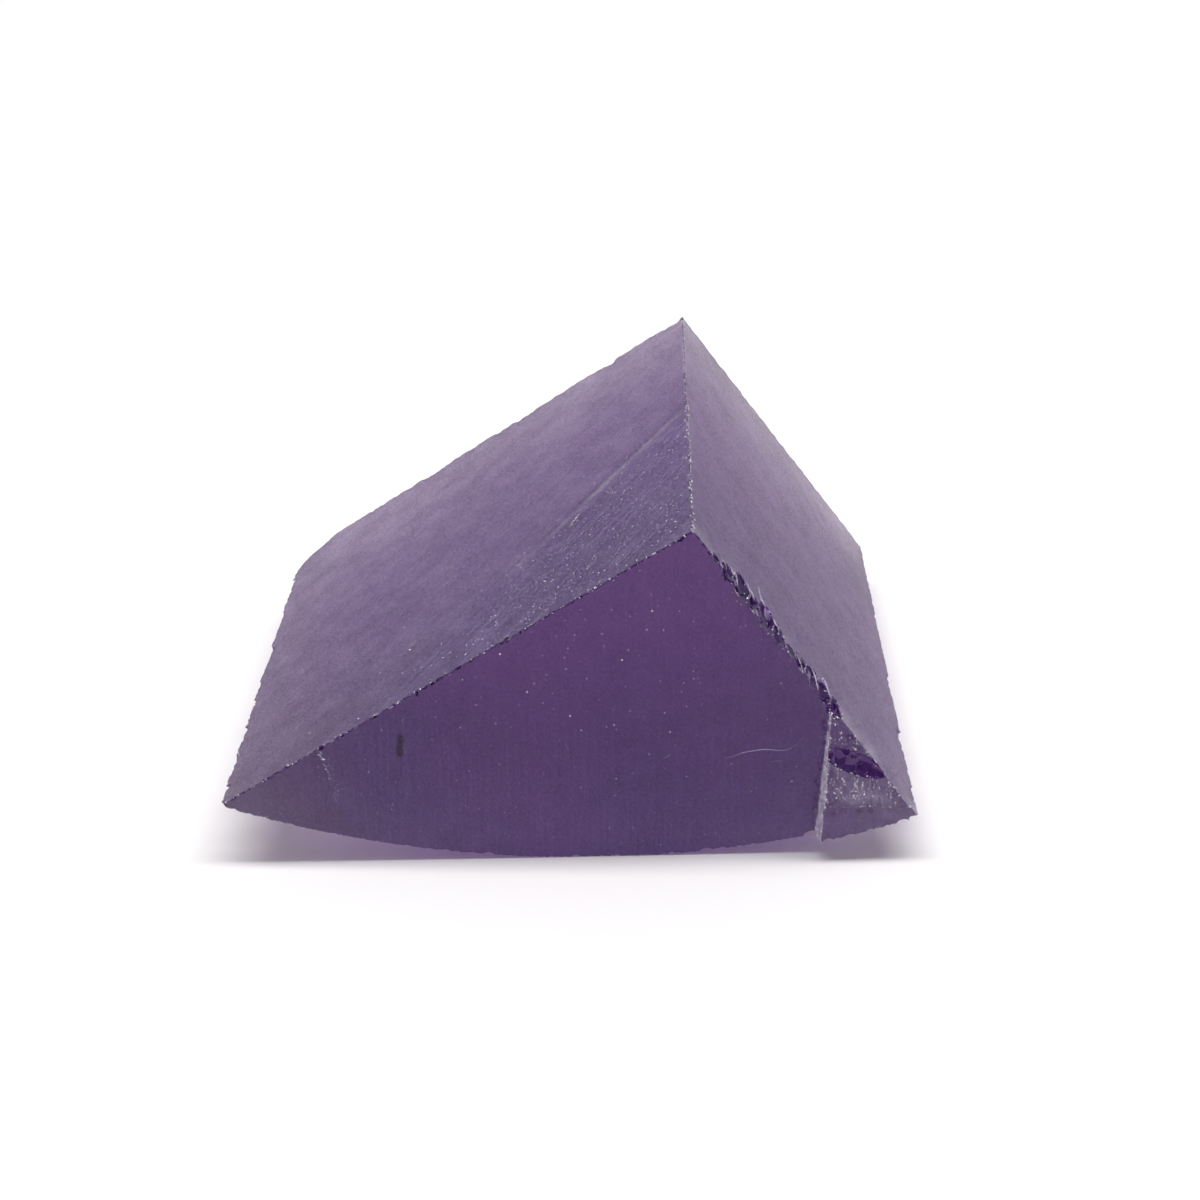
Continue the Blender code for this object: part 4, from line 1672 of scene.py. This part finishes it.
# The band's grains are painted glints: white grains where the broken crystal would flash.
BAND_GLINT_GRAINS = (
    (5.66, 12.67), (5.48, 12.77), (7.73, 10.24), (7.63, 10.13), (7.87, 9.90), (6.01, 12.34),
    (9.48, 7.49),
)


def single_grains(name, centres, radius, seed):
    """Grains at chosen places, each a little longer than high."""
    grains = bmesh.new()
    for number, centre in enumerate(centres):
        ball = bmesh.ops.create_icosphere(grains, subdivisions=1, radius=1.0)["verts"]
        size = radius * (0.75 + 0.25 * math.sin(seed + 2.4 * number)) * MM
        for vert in ball:
            vert.co = centre + Vector((vert.co.x * 1.2, vert.co.y, vert.co.z * 0.9)) * size
    mesh = bpy.data.meshes.new(name)
    grains.to_mesh(mesh)
    grains.free()
    mesh.materials.append(DUST)
    take_aboard(put_in_scene(name, mesh))
    print(name, "grains:", len(centres))


single_grains("specks_on_front", [on_front(*spot) for spot in FRONT_GRAINS], 0.042, 1)
single_grains("specks_on_top", [on_top(*spot) for spot in TOP_GRAINS], 0.045, 2)
single_grains("specks_in_band", [on_front(*spot) for spot in BAND_GLINT_GRAINS], 0.04, 3)

# %% [markdown]
# ## Shells that still cling
# Where a flake sprang off, thin shells next to it are cracked underneath but still hold on. The
# air in the cracks makes them pale. Each is a closed sliver, bent like a fingernail, that lies
# along the broken edge: rings of six points are set along a bent path, wide in the middle and
# closed to a point at both ends.

# %% The clinging shells
CRACK_GREY, CRACK_WHITE = (0.52, 0.42, 0.66, 1.0), (0.98, 0.90, 1.0, 1.0)


def cracked_material():
    """Half clear and half white, because of the air under the shells."""
    material, tree, shader = crystal("cracked_sapphire", 0.5, GLEAM)
    cracks = use_group(tree, LINES, {
        "Across": RIGHT_ACROSS * 7000.0, "Along": RIGHT_ALONG * 2500.0, "Contrast": 4.0,
        "Seed": 6.6,
    })
    tree.links.new(blend(tree, CRACK_GREY, CRACK_WHITE, cracks), shader.inputs["Base Color"])
    tree.links.new(between(tree, 0.25, 0.7, cracks), shader.inputs["Roughness"])
    roughen(tree, shader, cracks, GRAIN_BUMP, GRAIN_BUMP_HEIGHT)
    return material


# Start, middle and end in millimetres from the foot, and half width in millimetres.
SHELLS = (
    ((4.96, 14.05), (5.16, 13.73), (5.24, 13.43), 0.07),
    ((5.44, 13.42), (5.65, 12.98), (5.73, 12.60), 0.09),
    ((6.12, 12.50), (6.36, 12.12), (6.47, 11.78), 0.10),
    ((6.72, 11.72), (6.94, 11.25), (6.96, 10.90), 0.14),
    ((7.24, 10.90), (7.42, 10.69), (7.55, 10.40), 0.08),
    ((8.28, 9.45), (8.47, 9.08), (8.52, 8.90), 0.06),
    ((8.91, 8.66), (9.13, 8.30), (9.20, 8.08), 0.08),
    ((9.45, 7.98), (9.72, 7.61), (9.83, 7.32), 0.08),
)
SHELL_STEPS, SHELL_SIDES, SHELL_THICKNESS = 12, 6, 0.35


def bend_through(start, middle, end, share):
    """A point on the smooth bend through three places."""
    first = 2 * (share - 0.5) * (share - 1)
    second = 4 * share * (1 - share)
    third = 2 * share * (share - 0.5)
    return tuple(first * a + second * b + third * c for a, b, c in zip(start, middle, end))


def add_shell(shells, start, middle, end, half_width):
    path = [bend_through(start, middle, end, step / SHELL_STEPS) for step in range(SHELL_STEPS + 1)]
    centres = [on_front(*place) for place in path]
    tips = [shells.verts.new(centres[0]), shells.verts.new(centres[-1])]
    rings = []
    for step in range(1, SHELL_STEPS):
        way = (centres[step + 1] - centres[step - 1]).normalized()
        side = way.cross(SAWN["right"][1]).normalized()
        out = side.cross(way)
        wide = half_width * MM * math.sin(math.pi * step / SHELL_STEPS) ** 0.6
        angles = [2 * math.pi * corner / SHELL_SIDES for corner in range(SHELL_SIDES)]
        rings.append([
            shells.verts.new(
                centres[step]
                + side * wide * math.cos(angle) + out * wide * SHELL_THICKNESS * math.sin(angle)
            )
            for angle in angles
        ])
    for number in range(SHELL_SIDES):
        after = (number + 1) % SHELL_SIDES
        shells.faces.new((tips[0], rings[0][number], rings[0][after]))
        shells.faces.new((tips[1], rings[-1][after], rings[-1][number]))
        for near, far in zip(rings, rings[1:]):
            shells.faces.new((near[number], far[number], far[after], near[after]))


def clinging_shells():
    shells = bmesh.new()
    for values in SHELLS:
        add_shell(shells, *values)
    bmesh.ops.recalc_face_normals(shells, faces=shells.faces)
    mesh = bpy.data.meshes.new("clinging_shells")
    shells.to_mesh(mesh)
    shells.free()
    mesh.shade_smooth()
    mesh.materials.append(cracked_material())
    take_aboard(put_in_scene("clinging_shells", mesh))
    return len(mesh.polygons)


print("shell faces:", clinging_shells())

# %% [markdown]
# ## A hair of lint
# A fibre from a wiping cloth lies on the front, thinner than a tenth of a millimetre and tapering
# to nothing at both ends. A curve with a round bevel does that: each point of a curve has its own
# radius. The points are laid on the surface first and then lifted by the hair's thickness.

# %% Lint
LINT_RADIUS = 0.009

# Places across and up in millimetres from the foot, each with a thickness there.
LONG_HAIR = (
    (5.30, 4.86, 0.2), (5.67, 4.92, 0.6), (6.05, 5.11, 1.0), (6.43, 5.20, 1.2), (7.06, 5.29, 1.2),
    (7.49, 5.23, 1.0), (7.92, 5.17, 0.7), (8.34, 5.41, 0.5), (8.67, 5.80, 0.3), (8.74, 6.05, 0.1),
)
SHORT_HAIR = ((2.70, 4.90, 0.5), (2.86, 4.97, 1.4), (3.04, 5.09, 0.5))
TINY_HAIR = ((7.35, 4.62, 0.3), (7.6, 4.70, 0.8), (7.9, 4.69, 0.3))


def lint_material():
    material, tree, shader = new_material("lint")
    twist = use_group(tree, HAZE, {"Per Metre": 2500.0, "Seed": 3.3, "Contrast": 2.0})
    tint = blend(tree, (0.36, 0.32, 0.40, 1.0), (0.66, 0.62, 0.68, 1.0), twist)
    tree.links.new(tint, shader.inputs["Base Color"])
    shader.inputs["Roughness"].default_value = 0.7
    return material


def hair(name, places, material):
    line = bpy.data.curves.new(name, "CURVE")
    line.dimensions = "3D"
    line.bevel_depth = LINT_RADIUS * MM
    line.bevel_resolution = 1
    line.use_fill_caps = True
    line.resolution_u = 6
    spline = line.splines.new("NURBS")
    spline.points.add(len(places) - 1)
    for point, (x, z, thickness) in zip(spline.points, places):
        centre = on_front(x, z) - BACKWARDS * LINT_RADIUS * MM
        point.co = (*centre, 1.0)
        point.radius = thickness
    spline.use_endpoint_u = True
    spline.order_u = 3
    line.materials.append(material)
    bent = put_in_scene(name, line)
    evaluated = bent.evaluated_get(bpy.context.evaluated_depsgraph_get())
    mesh = bpy.data.meshes.new_from_object(evaluated)
    bpy.data.objects.remove(bent)
    take_aboard(put_in_scene(name, mesh))
    print(name, "faces:", len(mesh.polygons))


LINT = lint_material()
hair("lint_hair", LONG_HAIR, LINT)
hair("lint_short", SHORT_HAIR, LINT)
hair("lint_tiny", TINY_HAIR, LINT)

# %% [markdown]
# ## The fleck sealed in the crystal
# Grown sapphire sometimes holds a fleck of the crucible. This one is a dark sliver, a millimetre
# tall, just behind the front face, so the matt surface blurs it. It is a separate closed solid
# inside the stone: a ball drawn out to a spindle, with a waist, and thin from front to back.

# %% The sealed fleck
# Ends across and up in millimetres from the foot, and sizes in millimetres.
FLECK_TOP, FLECK_FOOT = (-8.39, 6.32), (-8.46, 5.15)
FLECK_HALF_WIDTH = 0.16
FLECK_HALF_DEPTH = 0.02
FLECK_BEHIND = 0.05


def fleck_material():
    material, tree, shader = new_material("dark_fleck")
    patches = use_group(tree, HAZE, {"Per Metre": 5000.0, "Seed": 8.8, "Contrast": 2.0})
    tint = blend(tree, (0.002, 0.001, 0.003, 1.0), (0.012, 0.009, 0.014, 1.0), patches)
    tree.links.new(tint, shader.inputs["Base Color"])
    shader.inputs["Roughness"].default_value = 0.6
    return material


def sealed_fleck():
    top, foot = on_front(*FLECK_TOP), on_front(*FLECK_FOOT)
    half_height = (top - foot).length / 2
    spindle = bmesh.new()
    bmesh.ops.create_icosphere(spindle, subdivisions=3, radius=1.0)
    for vert in spindle.verts:
        across, deep, along = vert.co
        waist = 1.0 - 0.35 * math.exp(-((along - 0.15) / 0.18) ** 2)
        sway = 0.35 * math.sin(3.0 * along)
        vert.co = (
            (across * waist + sway * (1 - along ** 2)) * FLECK_HALF_WIDTH * MM,
            deep * FLECK_HALF_DEPTH * MM,
            along * half_height,
        )
    middle = (top + foot) / 2 + BACKWARDS * (FLECK_BEHIND + FLECK_HALF_DEPTH) * MM
    bmesh.ops.translate(spindle, verts=spindle.verts, vec=middle)
    mesh = bpy.data.meshes.new("sealed_fleck")
    spindle.to_mesh(mesh)
    spindle.free()
    mesh.shade_smooth()
    mesh.materials.append(fleck_material())
    take_aboard(put_in_scene("sealed_fleck", mesh))
    return len(mesh.polygons)


print("fleck faces:", sealed_fleck())

# %% [markdown]
# ## Floor and light
# A plain pale floor lies a hair below the stone, because two faces in the same plane fight. The
# light is one long strip overhead, as in a small light tent: it leaves the floor in front white
# and puts a straight-edged shadow under the stone. The tent itself is a world that is bright
# behind and dim on the camera's side, which is what keeps the front of the stone dark.
#
# Far from the stone the floor fades into the white of the tent for the camera alone, so a low view
# has no grey horizon and the light on the stone is unchanged.

# %% The floor
FLOOR_DROP = 0.02 * MM
FLOOR_HALF = 3.0
FLOOR_COLOUR = (0.92, 0.90, 0.905, 1.0)
TENT_WHITE = 1.05
FADE_FROM, FADE_TO = 0.10, 0.45


def floor_finish():
    material, tree, paint = new_material("white_floor")
    paint.inputs["Base Color"].default_value = FLOOR_COLOUR
    paint.inputs["Roughness"].default_value = 0.9
    paint.inputs["Specular IOR Level"].default_value = 0.1
    position = add(tree, "ShaderNodeTexCoord").outputs["Object"]
    far = add(
        tree, "ShaderNodeMapRange",
        {"Value": vectors(tree, "LENGTH", position), "From Min": FADE_FROM, "From Max": FADE_TO},
        interpolation_type="SMOOTHSTEP",
    ).outputs["Result"]
    seen = add(tree, "ShaderNodeLightPath").outputs["Is Camera Ray"]
    glow = add(tree, "ShaderNodeEmission", {"Strength": TENT_WHITE})
    mixed = add(
        tree, "ShaderNodeMixShader",
        {0: maths(tree, "MULTIPLY", far, seen), 1: paint.outputs[0], 2: glow.outputs[0]},
    )
    tree.links.new(mixed.outputs[0], tree.nodes["Material Output"].inputs["Surface"])
    return material


corners = [(-1, -1), (1, -1), (1, 1), (-1, 1)]
floor_mesh = bpy.data.meshes.new("floor")
floor_mesh.from_pydata(
    [(x * FLOOR_HALF, y * FLOOR_HALF, -FLOOR_DROP) for x, y in corners], [], [(0, 1, 2, 3)]
)
floor_mesh.materials.append(floor_finish())
floor = put_in_scene("floor", floor_mesh)
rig.stage(floor)
print("floor, m across:", 2 * FLOOR_HALF)

# %% The strip light and the tent
STRIP_HEIGHT, STRIP_LENGTH, STRIP_WIDTH, STRIP_POWER = 0.6, 0.9, 0.12, 4.0
TENT_DIM, TENT_BRIGHT = 0.15, 0.57
DIM_UP_TO, BRIGHT_FROM = -0.6, 0.3  # how far a direction points to the back
LIGHT_PATHS = 9

strip = bpy.data.lights.new("strip", "AREA")
strip.shape = "RECTANGLE"
strip.size, strip.size_y = STRIP_LENGTH, STRIP_WIDTH
strip.energy = STRIP_POWER
put_in_scene("strip", strip).location = (0.0, 0.0, STRIP_HEIGHT)

tent = bpy.data.worlds.new("tent")
tent.use_nodes = True
bpy.context.scene.world = tent
sky = tent.node_tree
look = add(sky, "ShaderNodeTexCoord").outputs["Generated"]
towards = add(sky, "ShaderNodeSeparateXYZ", {0: look})
dimmed = add(
    sky, "ShaderNodeMapRange",
    {"Value": towards.outputs["Y"], "From Min": DIM_UP_TO, "From Max": BRIGHT_FROM,
     "To Min": TENT_DIM, "To Max": TENT_BRIGHT},
)
seen = add(sky, "ShaderNodeLightPath").outputs["Is Camera Ray"]
strength = between(sky, dimmed.outputs["Result"], TENT_WHITE, seen)
sky.links.new(strength, sky.nodes["Background"].inputs["Strength"])
sky.nodes["Background"].inputs["Color"].default_value = (1.0, 1.0, 1.0, 1.0)
bpy.context.scene.view_settings.view_transform = "Standard"
bpy.context.scene.cycles.max_bounces = LIGHT_PATHS
bpy.context.scene.cycles.transmission_bounces = LIGHT_PATHS
print("strip power, W:", STRIP_POWER)

# %% [markdown]
# ## Measure and finish
# The box of the finished pieces is written next to the box of the frame. The two should agree to
# about a tenth of a millimetre, because the trees only cut into the stone, and only grit stands proud.

# %% Measure and finish
json.dump({"cad": np.array(cad_box).tolist(), "visual": np.array(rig.bounds()).tolist()},
          open("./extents.json", "w"))
print("size:", open("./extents.json").read())
